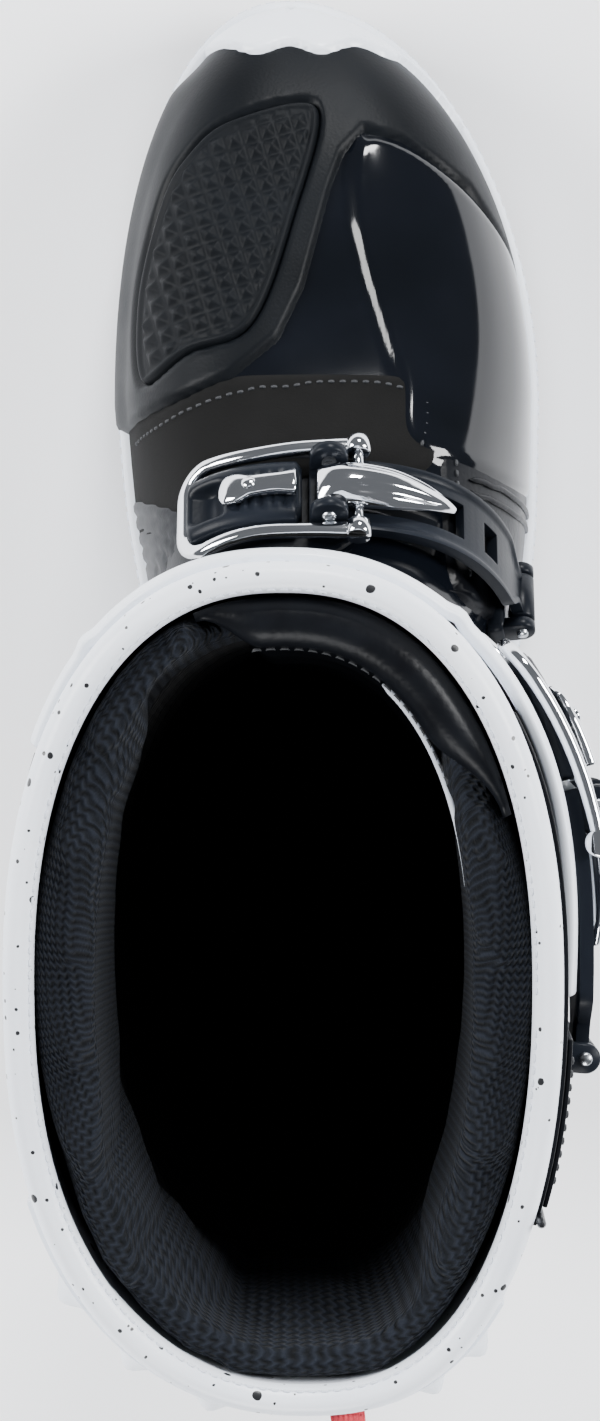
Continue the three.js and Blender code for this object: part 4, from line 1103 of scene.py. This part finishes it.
sleeve = sheetPiece("legLiningKnit", legGrid(np.arange(0, 360, 3.0), 80, sleeveOff,
    lambda a: cuffAt(a) + 18, lambda a: mouthAt(a) - 58),
                    2.6, "leg", darkKnit, legAxis, closed=True)
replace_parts(sleeve, "cuff_lining")
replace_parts(topPad, "cuff_lining")

tongueLook = {"from": 24.0, "to": 108.0, "outer": -7.0, "inner": -18.5, "bottom": 205.0, "drop": 2.6}


def tongueRing(angle):
    t = tongueLook
    share = float(smooth(angle, t["from"], t["from"] + 22) * (1 - smooth(angle, t["to"] - 14, t["to"])))
    inner = t["outer"] - 2.0 + (t["inner"] - t["outer"] + 2.0) * share
    top = float(mouthAt(np.array(angle))) - t["drop"] - 3 * (1 - share)
    turn = np.linspace(0, math.pi, 9)
    middle, half = (t["outer"] + inner) / 2, (t["outer"] - inner) / 2
    roll = [(middle + half * math.cos(b), top - half + half * math.sin(b)) for b in turn]
    side = np.linspace(top - half - 4, t["bottom"], 22)
    ring = roll + [(inner + 1.2 * math.sin(i * 0.9) ** 2 * share, z) for i,
        z in enumerate(side)] + [(t["outer"], z) for z in side[::-1]]
    return [legPoint(angle, z, off) for off, z in ring]


tongue = loftPiece("tonguePad", [tongueRing(a) for a in np.linspace(tongueLook["from"], tongueLook["to"],
    44)], "leg",
                   flapLeather)
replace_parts(tongue, "tongue_pad")
legSeam("tongueStitches", np.linspace(34, 100, 60), lambda a: mouthAt(a) - 9.0, -18.7, "flap_black",
    threadBlack, thick=0.45)
line, out = legLine(np.linspace(12, 62, 40), lambda a: mouthAt(a) - 30, -19.3)
pipe("tonguePiping", line, 0.8, "leg", threadWhite, normals=out)
print("lining done")

# ---- armour plates of the leg ----
def shinTop(angle):
    return mouthAt(angle) - 8 - 37 * (1 - np.cos(np.radians((angle - 90) * 0.95)))


shinLook = {"low": 172.5, "recess": 1.1, "slots": 4, "slotDeep": 0.9}


def shinOff(a, z, u):
    panel = smooth(a, 62, 68) * (1 - smooth(a, 118, 124)) * smooth(u, 0.1, 0.14) * (1 - smooth(u, 0.72,
        0.78))
    slots = np.sin(u * math.tau * shinLook["slots"] * 1.4) > 0.55
    edge = 1.4 * (1 - smooth(u, 0, 0.03)) + 1.2 * smooth(u, 0.975, 1)
    edge = edge - 0.9 * bump(a, 56, 3.2) * smooth(u, 0.06, 0.12) - 0.9 * bump(a, 130, 3.2) * smooth(u, 0.06,
        0.12)
    return shinOut(a) - shinLook["recess"] * panel - shinLook["slotDeep"] * panel * slots - edge


shin = sheetPiece("shinPlate", legGrid(np.arange(-2, 150.5, 1.25), 120, shinOff, shinLook["low"], shinTop),
    2.8,
                  "leg", whitePlastic, legAxis, rim=0.9)
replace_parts(shin, "shin_plate")

calfLook = {"ribs": (-138, -122, -106, -66, -54), "ribHigh": 4.2, "ribHalf": 5.0}


def calfOff(a, z, u):
    body = 0.4 + 4 * smooth(1 - np.abs(2 * u - 1), -0.4, 0.4)
    ribs = sum(bump(a, at, calfLook["ribHalf"]) for at in calfLook["ribs"])
    ledges = 0.8 * (np.sin(u * 60) > 0.6) * smooth(u, 0.3, 0.34) * (1 - smooth(u, 0.6, 0.64)) * smooth(a,
        -130, -124) * (
        1 - smooth(a, -74, -68))
    return body + calfLook["ribHigh"] * ribs * smooth(u, 0.62, 0.8) * (1 - smooth(u, 0.965, 1.0)) - ledges


calf = sheetPiece("calfPlate", legGrid(np.arange(-154, -43.5, 1.0), 150, calfOff, lambda a: cuffAt(a) + 5,
    lambda a: mouthAt(a) - 10),
                  2.6, "leg", whitePlastic, legAxis, rim=0.8)
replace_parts(calf, "calf_plate")


def gripOff(a, z, u):
    ribs = np.sin((z + a * 0.9) / 6.5 * math.tau)
    field = smooth(a, 155, 158) * (1 - smooth(a, 198, 201)) * smooth(u, 0.04, 0.07) * (1 - smooth(u, 0.93,
        0.96))
    return 3.4 - 0.9 * field * smooth(ribs, -0.2, 0.4)


grip = sheetPiece("gripPanelInner", legGrid(np.arange(151, 205.5, 0.9), 150, gripOff, 172.5,
    lambda a: mouthAt(a) - 44), 2.6,
                  "leg", padRubber, legAxis, rim=0.8)
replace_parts(grip, "inner_grip_panel")
outerPanel = sheetPiece("outerPanel", legGrid(np.arange(-43, -2.5, 1.5), 60, lambda a, z,
    u: 3.4 - 0.8 * smooth(
    np.abs(u - 0.5), 0.3, 0.34), 172.5, 286), 2.4, "leg", satinBlack, legAxis, rim=0.8)
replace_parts(outerPanel, "outer_panel")


def flapOff(a, z, u):
    return np.minimum(2.4, 0.6 + wing(np.maximum(a, -2)) - 0.7)


flap = sheetPiece("closureFlap", legGrid(np.arange(-30, 38.5, 1.5), 40, flapOff, 288,
    lambda a: mouthAt(a) - 12), 1.5,
                  "leg", flapLeather, legAxis, rim=0.4)
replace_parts(flap, "closure_flap")
sheetPiece("closureFlapCover", legGrid(np.arange(-27, -3.5, 1.5), 40, 3.7, 291, lambda a: mouthAt(a) - 15),
    1.2,
                   "leg", flapLeather, legAxis, rim=0.4)
legSeam("flapStitches", np.linspace(-24, -6, 24), lambda a: mouthAt(a) - 18, 3.95, "flap_black", threadBlack)
legSeam("flapStitchesLow", np.linspace(-24, -6, 24), lambda a: np.full(a.shape, 294.0), 3.95, "flap_black",
    threadBlack)
rear = legPoint(np.full(40, -28.6), np.linspace(290, 352, 40), 2.6)
pipe("flapPiping", rear, 1.1, "leg", flapLeather, normals=rear - legPoint(np.full(40, -28.6),
    np.linspace(290, 352, 40), 0))

tabLook = {"angle": -84.2, "wide": 8.0, "thick": 1.1}


def tabRings():
    rings = []
    turn = np.linspace(-math.pi / 2, math.pi / 2, 15)
    top = float(mouthAt(np.array(tabLook["angle"])))
    path = [(5.4, top - 42 + 2 * i) for i in range(9)] + [(6.8 + 1.6 * math.cos(b),
        top - 24 + 2.2 * math.sin(b)) for b in turn]
    for off, z in path:
        ring = []
        for side, lay in ((-1, 0), (1, 0), (1, 1), (-1, 1)):
            p = legPoint(tabLook["angle"], z, off + lay * tabLook["thick"])
            ring.append(p + np.array([side * tabLook["wide"] / 2, 0, 0]))
        rings.append(ring)
    return rings


tab = loftPiece("pullTab", tabRings(), "leg", redTape)
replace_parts(tab, "pull_tab")
print("plates done")


# ---- ankle arms and screws ----
armShape = np.array([(pivotAt[1] + 17 * math.cos(t),
    pivotAt[2] + 17 * math.sin(t)) for t in np.radians(np.linspace(160, 380, 24))]
                    + [(82, 118), (83, 128), (84.5, 150), (84, 160), (80, 169), (74, 171), (66, 171), (60,
                        169), (56, 160),
                       (55.5, 150), (57, 128), (58, 118)])


def sideGrid(side, ys, zs, off):
    y, z = np.meshgrid(ys, zs, indexing="ij")
    v = (y - legMiddleY(z)) / (legHalfY(z) + off)
    back = -(np.minimum(1, np.abs(v)) ** (legSquare / 2)) * (v < 0)
    x = legMiddleX(z) + calfSkew(back, z) + side * (legHalfX(z) + off) * np.maximum(0,
        1 - np.abs(v) ** legSquare) ** (1 / legSquare)
    return np.stack([x, y, z], axis=-1)


def sideArm(name, side):
    ys, zs = np.arange(50, 90, 0.7), np.arange(79, 173, 0.7)
    y, z = np.meshgrid(ys, zs, indexing="ij")
    inside = inwards(np.stack([y, z], axis=-1), armShape).reshape(y.shape)
    recess = smooth(inside, 3.4, 4.4) * smooth(z, 118, 121)
    off = 0.8 + 4.2 * smooth(inside, -0.4, 1.6) - 1.3 * recess
    grid = sideGrid(side, ys, zs, off)
    keep = anyCorner(inside > -0.4)
    return sheetPiece(name, grid, 2.6, "leg", whitePlastic, legAxis, keep=keep)


def screwPiece(name, side):
    surface = abs(float(legPoint(-8.0 if side > 0 else 188.0, pivotAt[2], 0)[0])) + 5.0
    profile = [(0, -8), (6, -8), (6, 1.2), (9.6, 1.2), (10.1, 1.8), (10.1, 3.4), (9.4, 4.2), (6.2, 4.4),
        (5.8, 3.8), (5.6, 2.6),
               (4.4, 2.5), (0, 2.5)]
    piece = turnedMesh(name, (side * surface, pivotAt[1], pivotAt[2]), (side, 0, 0), profile, steel, 48)
    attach(piece, "foot")
    return piece


for name, side in (("outer", 1), ("inner", -1)):
    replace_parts(sideArm("pivotArm" + name.capitalize(), side), "pivot_arm_" + name)
    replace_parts(screwPiece("pivotScrew" + name.capitalize(), side), "pivot_screw_" + name)
print("ankle done")


# ---- buckles: each follows a track over the boot; s runs along it, y across it, t away from the boot ----
class Track:
    def __init__(self, centre, across, out, inside, start, first, last):
        angles = np.linspace(first, last, int(round(abs(first - last) / 3)) + 1)
        raw = np.array([self.reach(centre, across, out, inside, a) for a in angles])
        self.points = raw.copy()
        self.points[1:-1] = raw[1:-1] / 2 + raw[:-2] / 4 + raw[2:] / 4
        self.run = np.concatenate([[0], np.cumsum(np.linalg.norm(np.diff(self.points, axis=0), axis=1))])
        self.zero = self.run[int(np.argmin(np.abs(angles - start)))]
        side = np.cross(out, across)
        self.side = side / np.linalg.norm(side)

    def reach(self, centre, across, out, inside, angle):
        way = across * math.cos(math.radians(angle)) + out * math.sin(math.radians(angle))
        near, far = 5.0, 160.0
        for _ in range(26):
            half = (near + far) / 2
            if inside(centre + way * half):
                near = half
            else:
                far = half
        return centre + way * near

    def place(self, s):
        return np.array([np.interp(s + self.zero, self.run, self.points[:, k]) for k in range(3)])

    def frame(self, s):
        along = self.place(s + 4) - self.place(s - 4)
        along = along / np.linalg.norm(along)
        out = np.cross(along, self.side)
        return along, out / np.linalg.norm(out)

    def wrap(self, s, y, t):
        along, out = self.frame(s)
        return self.place(s) + self.side * y + out * t


def legAngleAt(p):
    return math.degrees(math.atan2(power((p[1] - legMiddleY(p[2])) / legHalfY(p[2]), legSquare / 2),
                                   power((p[0] - legMiddleX(p[2])) / legHalfX(p[2]), legSquare / 2)))


def legTrack(z):
    up = legPoint(12.0, z + 10.0, 0) - legPoint(12.0, z - 10.0, 0)
    up = up / np.linalg.norm(up)
    out = np.array([0, 1.0, 0]) - up * up[1]
    out = out / np.linalg.norm(out)
    inside = lambda p: bool(inLeg(p, shinOut(max(-2.0, legAngleAt(p)))))
    return Track(np.array([float(legMiddleX(z)), float(legMiddleY(z)), z]), np.cross(out, up), out, inside,
        30, 120, -90)


def instepTrack():
    slope, y = math.radians(36), 167.0
    out = np.array([0, math.sin(slope), math.cos(slope)])
    inside = lambda p: bool(inFoot(p[None], 3.4)[0]) or (p[2] < 126 and bool(inLeg(p, 3.4)))
    centre = np.array([4.0, y, float(footHeight(y))]) - out * 46
    return Track(centre, np.array([1.0, 0, 0]), out, inside, 81, 186, -30)


buckle = {"armHalf": 11.8, "armTop": 4.4, "armThick": 3.2, "leverT": 8.5, "bailReach": 39.3,
    "bailHalf": 14.4, "bailBar": 2.1,
          "eccentric": 7.5, "drop": 1.4, "hingeT": 3.5, "barrel": 3.6, "barrelHalf": 7.3}


def superRing(track, s, half, low, high, strength, count=20, middle=0.0):
    out = []
    for k in range(count):
        a = math.tau * k / count
        y = power(math.cos(a), strength) * half + middle
        t = (low + high) / 2 + power(math.sin(a), strength) * (high - low) / 2
        out.append(track.wrap(s, y, t))
    return out


def leverRings(track):
    halfAt = through([[-4, 5.6], [-1, 7.0], [6, 7.3], [14, 6.9], [22, 5.2], [28, 3.2], [33, 0.9]])
    lowAt = through([[-4, 7.0], [0, 5.4], [6, 4.9], [33, 5.1]])
    highAt = through([[-4, 9.2], [-2, 11.2], [1, 12.9], [6, 13.6], [14, 12.7], [22, 10.7], [28, 8.8], [33,
        6.8]])
    rings = []
    for s in np.concatenate([[-3.4, -2.8], np.linspace(-2, 31, 40), [32.2, 32.9]]):
        half, low, high = float(halfAt(s)), float(lowAt(s)), float(highAt(s))
        side = low + (high - low) * 0.45
        ring = [track.wrap(s, y * half, low + 0.5 * y * y) for y in np.linspace(-0.9, 0.9, 7)]
        for y in np.linspace(1, -1, 25):
            crown = side + (high - side) * (1 - abs(y) ** 2.6)
            flute = 1.1 * float(bump(abs(y), 0.52, 0.26)) * float(smooth(s, 3, 8)) * float(1 - smooth(s, 24,
                30))
            ring.append(track.wrap(s, y * half, crown - flute))
        rings.append(ring)
    return rings


def bailRings(track):
    b = buckle
    end, corner = -b["bailReach"], 8.5
    turn = np.linspace(0, math.pi / 2, 12)[1:]
    path = [(s, b["bailHalf"] - 0.9 * float(bump(s, -20, 16)), 0.0,
        1.0) for s in np.linspace(b["eccentric"], end + corner, 26)]
    path += [(end + corner - corner * math.sin(a), b["bailHalf"] - corner + corner * math.cos(a),
        -math.sin(a), math.cos(a))
             for a in turn]
    path += [(s, -y, ns, -ny) for s, y, ns, ny in reversed(path)]
    rings = []
    for s, y, ns, ny in path:
        t = b["leverT"] - b["drop"] - (b["eccentric"] - s) * 3.1 / (b["eccentric"] + b["bailReach"])
        wide = b["bailBar"] + 0.5 * float(smooth(s, -6, 6))
        rings.append([track.wrap(s + ns * wide * power(math.cos(a), 0.8), y + ny * wide * power(math.cos(a),
            0.8),
                                 t + 1.85 * power(math.sin(a), 0.8)) for a in np.linspace(0, math.tau, 16,
                                     endpoint=False)])
    return rings


def turnedOn(name, track, s, y, t, profile, material, axis=None):
    axis = track.side if axis is None else axis
    return turnedMesh(name, track.wrap(s, y, t), axis, profile, material, 28)


def pinProfile(radius, half):
    return [(0, -half - 0.5), (radius * 0.7, -half - 0.4), (radius, -half), (radius, half), (radius * 0.7,
        half + 0.4), (0, half + 0.5)]


def armGrid(track, reach, slots):
    b = buckle
    neck = reach - b["barrel"] - 2
    ss = np.concatenate([[-5.2, -4.7], np.arange(-4, neck - 9, 0.9), np.linspace(neck - 8, reach - 1.5, 14)])
    halfAt = through([[-5.2, b["armHalf"] - 0.6], [-4, b["armHalf"]], [neck - 9, b["armHalf"]], [neck - 1,
        b["barrelHalf"] - 0.6],
                      [reach, b["barrelHalf"] - 0.6]])
    vs = np.linspace(-1, 1, 33)
    grid, keep = [], np.ones((len(ss) - 1, len(vs) - 1), bool)
    for i, s in enumerate(ss):
        half = float(halfAt(s))
        row = []
        for v in vs:
            y = v * half
            rim = float(smooth(half - abs(y), 1.6, 2.6)) * float(smooth(s, 2, 5))
            row.append(track.wrap(s, y, b["armTop"] - 0.7 * rim))
        grid.append(row)
    mid = (vs[:-1] + vs[1:]) / 2
    for i in range(len(ss) - 1):
        s = (ss[i] + ss[i + 1]) / 2
        for s0, s1, wide in slots:
            if s0 < s < s1:
                keep[i] &= np.abs(mid * float(halfAt(s))) > wide
    return np.array(grid), keep


def lug(name, track, s, t, radius, y0, y1, low, material):
    along, out = track.frame(s)
    at = track.wrap(s, 0, t)
    shape = [(radius * math.cos(a), radius * math.sin(a)) for a in np.linspace(0, math.pi, 19)]
    shape += [(-radius, low - t), (radius, low - t)]
    rings = []
    for w, shrink in ((y0, 0.5), (y0 + 0.5, 0), (y1 - 0.5, 0), (y1, 0.5)):
        rings.append([at + along * u * (1 - shrink / radius) + out * v * (1 - shrink / radius) + track.side * w
                      for u, v in shape])
    return loftPiece(name, rings, None, material)


def addBuckle(name, track, reach, base):
    b = buckle
    title = name.capitalize()
    catchRings = []
    for s in np.concatenate([[-37.4, -36.9], np.linspace(-36, -8.5, 34), [-7.7, -7.2]]):
        end = min(float(smooth(s, -37.6, -35.5)), float(1 - smooth(s, -8.6, -7.0)))
        half = 8.4 + 1.9 * end
        top = 7.0 - 1.4 * (1 - end)
        ring = [track.wrap(s, -half, 0.6), track.wrap(s, half, 0.6)]
        for y in np.linspace(half, -half, 23):
            corner = 1.6 * (abs(y) / half) ** 8
            cup = 4.2 * float(bump(s, -31, 5.2)) ** 0.5 * float(1 - smooth(abs(y), 4.5, 6.5))
            teeth = 0.8 * float(math.sin(s * math.tau / 3.0) > 0.2) * float(1 - smooth(abs(y), 5.4,
                6.2)) * float(smooth(s, -24, -23))
            ring.append(track.wrap(s, y, top - corner - cup - teeth))
        catchRings.append(ring)
    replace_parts(loftPiece(f"catch{title}", catchRings, base, strapPlastic), f"{name}_catch")

    halfAt = through([[-27.4, 0.9], [-25.5, 4.4], [-22.5, 4.8], [-19, 3.3], [-14, 3.2], [-8.5, 4.0]])
    highAt = through([[-27.4, 8.0], [-24.5, 10.0], [-20, 10.5], [-14, 11.0], [-8.5, 11.4]])
    tongueParts = [loftPiece("tongue", [superRing(track, s, float(halfAt(s)), 7.2, float(highAt(s)), 0.7)
                                        for s in np.linspace(-27.3, -8.5, 26)], None, chrome)]
    tongueParts.append(turnedOn("rivet", track, -19.5, 0, 10.3, [(0, -1), (1.9, -1), (1.9, 0.5), (1.5, 0.9),
        (0, 1.1)], chrome,
                                track.frame(-19.5)[1]))
    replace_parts(joined(f"keeper{title}", tongueParts, base), f"{name}_keeper")

    slots = [(9.0, reach * 0.5, 5.6), (reach * 0.5 + 8, reach * 0.5 + 14, 5.0)]
    grid, keep = armGrid(track, reach, slots)
    middle = toRow(track.place(reach / 2) - track.frame(reach / 2)[1] * 60)[0]
    parts = [sheetPiece("strap", grid, b["armThick"], None, strapPlastic, lambda p: Vector(middle),
        keep=keep, rim=0.6)]
    for y in (-1, 1):
        y0, y1 = sorted((y * 7.9, y * 11.3))
        parts.append(lug("lug", track, 0, b["leverT"], 5.2, y0, y1, 2.0, strapPlastic))
    parts.append(turnedOn("barrel", track, reach, 0, b["hingeT"], [(0, -7.3), (3.1, -7.3), (3.6, -6.8),
        (3.6, 6.8), (3.1, 7.3), (0, 7.3)],
                          strapPlastic))
    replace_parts(joined(f"strapArm{title}", parts, f"{name}_arm"), f"{name}_arm")
    pin = turnedOn(f"leverPin{title}", track, 0, 0, b["leverT"], pinProfile(2.0, b["armHalf"]), steel)
    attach(pin, f"{name}_arm")
    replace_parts(pin, f"{name}_lever_pin")

    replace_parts(loftPiece(f"lever{title}", leverRings(track), f"{name}_lever", chrome,
        sub=1), f"{name}_lever")
    parts = [loftPiece("bow", bailRings(track), None, chrome)]
    for y in (-1, 1):
        t = b["leverT"] - b["drop"]
        parts.append(turnedOn("eye", track, b["eccentric"], y * b["bailHalf"], t,
                              [(0, -2.6), (2.9, -2.6), (3.5, -2.1), (3.5, 2.1), (2.9, 2.6), (1.5, 2.7),
                                  (1.2, 2.3), (0, 2.3)], chrome))
        parts.append(turnedOn("trunnion", track, b["eccentric"], y * (b["bailHalf"] - 4.6), t,
            pinProfile(1.5, 4.2), chrome))
    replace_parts(joined(f"bail{title}", parts, f"{name}_bail"), f"{name}_bail")

    plate = [superRing(track, s, b["armHalf"] - 1.2 * float(1 - smooth(min(s - reach + 4.5, reach + 13 - s),
        0, 1.5)), -6.5, -0.8, 0.35, 28)
             for s in np.linspace(reach - 4.5, reach + 13, 16)]
    parts = [loftPiece("plate", plate, None, strapPlastic)]
    for y in (-1, 1):
        y0, y1 = sorted((y * 7.8, y * 11.3))
        parts.append(lug("lug", track, reach, b["hingeT"], 3.6, y0, y1, -3.0, strapPlastic))
    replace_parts(joined(f"bracket{title}", parts, base), f"{name}_bracket")
    rivet = turnedOn(f"rivet{title}", track, reach + 8.6, 0, -0.8,
                     [(0, -1.5), (3.2, -1.5), (3.4, 0.3), (2.9, 1.0), (1.7, 1.1), (1.3, 0.5), (0, 0.4)],
                         steel, track.frame(reach + 8.6)[1])
    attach(rivet, base)
    pin = turnedOn(f"hingePin{title}", track, reach, 0, b["hingeT"], pinProfile(1.6, b["armHalf"] + 0.2),
        steel)
    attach(pin, base)
    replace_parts(pin, f"{name}_hinge_pin")


tracks = {"instep": instepTrack(), "ankle": legTrack(192.0), "shin": legTrack(248.0),
    "calf": legTrack(304.0)}
reaches = {"instep": 75.0, "ankle": 58.0, "shin": 58.0, "calf": 58.0}
for name, track in tracks.items():
    off = np.linalg.norm(toRow(track.wrap(0, 0,
        buckle["leverT"]))[0] - np.array(joints[f"{name}_lever_turn"]["pos_m"]))
    print("track", name, "is off by", round(off * 1000, 3), "mm")
    addBuckle(name, track, reaches[name], "foot" if name == "instep" else "leg")

saddleLook = {"wall": 2.1, "ridge": 0.9}


def saddleGrid(track):
    ss = np.concatenate([np.arange(-84, -4, 1.5), np.linspace(-3, 7, 9)])
    halfAt = through([[-84, 13], [-50, 18.5], [-4, 18.5], [2, 16], [7, 12]])
    return np.array([[track.wrap(s, v * float(halfAt(s)), -0.1 - saddleLook["ridge"] * float(smooth(
        float(halfAt(s)) * (1 - abs(v)), 2.0, 3.0))) for v in np.linspace(-1, 1, 45)] for s in ss])


track = tracks["instep"]
below = toRow(track.place(-20) - track.frame(-20)[1] * 60)[0]
saddle = sheetPiece("instepSaddle", saddleGrid(track), saddleLook["wall"] - 0.6, "foot",
    satinBlack,
                    lambda p: Vector(below), rim=0.5)
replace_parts(saddle, "instep_saddle")
print("buckles done")

# ---- stage: pale floor and soft studio light ----
floorTone = newMaterial("paperMatt", Roughness=0.9, IOR=1.4)[0]
floorTone.node_tree.nodes["Principled BSDF"].inputs["Base Color"].default_value = linear("#F4F5F8")
mesh = bpy.data.meshes.new("floor")
mesh.from_pydata([(-4, -4, -0.001), (4, -4, -0.001), (4, 4, -0.001), (-4, 4, -0.001)], [], [(0, 1, 2, 3)])
mesh.materials.append(floorTone)
floor = bpy.data.objects.new("floor", mesh)
bpy.context.scene.collection.objects.link(floor)

world = bpy.data.worlds.new("studio")
bpy.context.scene.world = world
world.use_nodes = True
world.node_tree.nodes["Background"].inputs["Color"].default_value = linear("#EDF1F8")
world.node_tree.nodes["Background"].inputs["Strength"].default_value = 0.2
lamps = {"left": ((-1.5, 0.4, 1.1), 0.9, 62), "right": ((1.5, 0.3, 1.2), 0.7, 60), "front": ((0.3, 1.8,
    1.1), 0.45, 46),
         "back": ((-0.2, -1.9, 1.2), 0.9, 46)}
for name, (at, size, strength) in lamps.items():
    data = bpy.data.lights.new(name, "AREA")
    data.size, data.energy = size, strength
    lamp = bpy.data.objects.new(name, data)
    bpy.context.scene.collection.objects.link(lamp)
    lamp.location = at
    lamp.rotation_euler = (Vector((0, 0, 0.15)) - Vector(at)).to_track_quat("-Z", "Y").to_euler()
print("stage done")
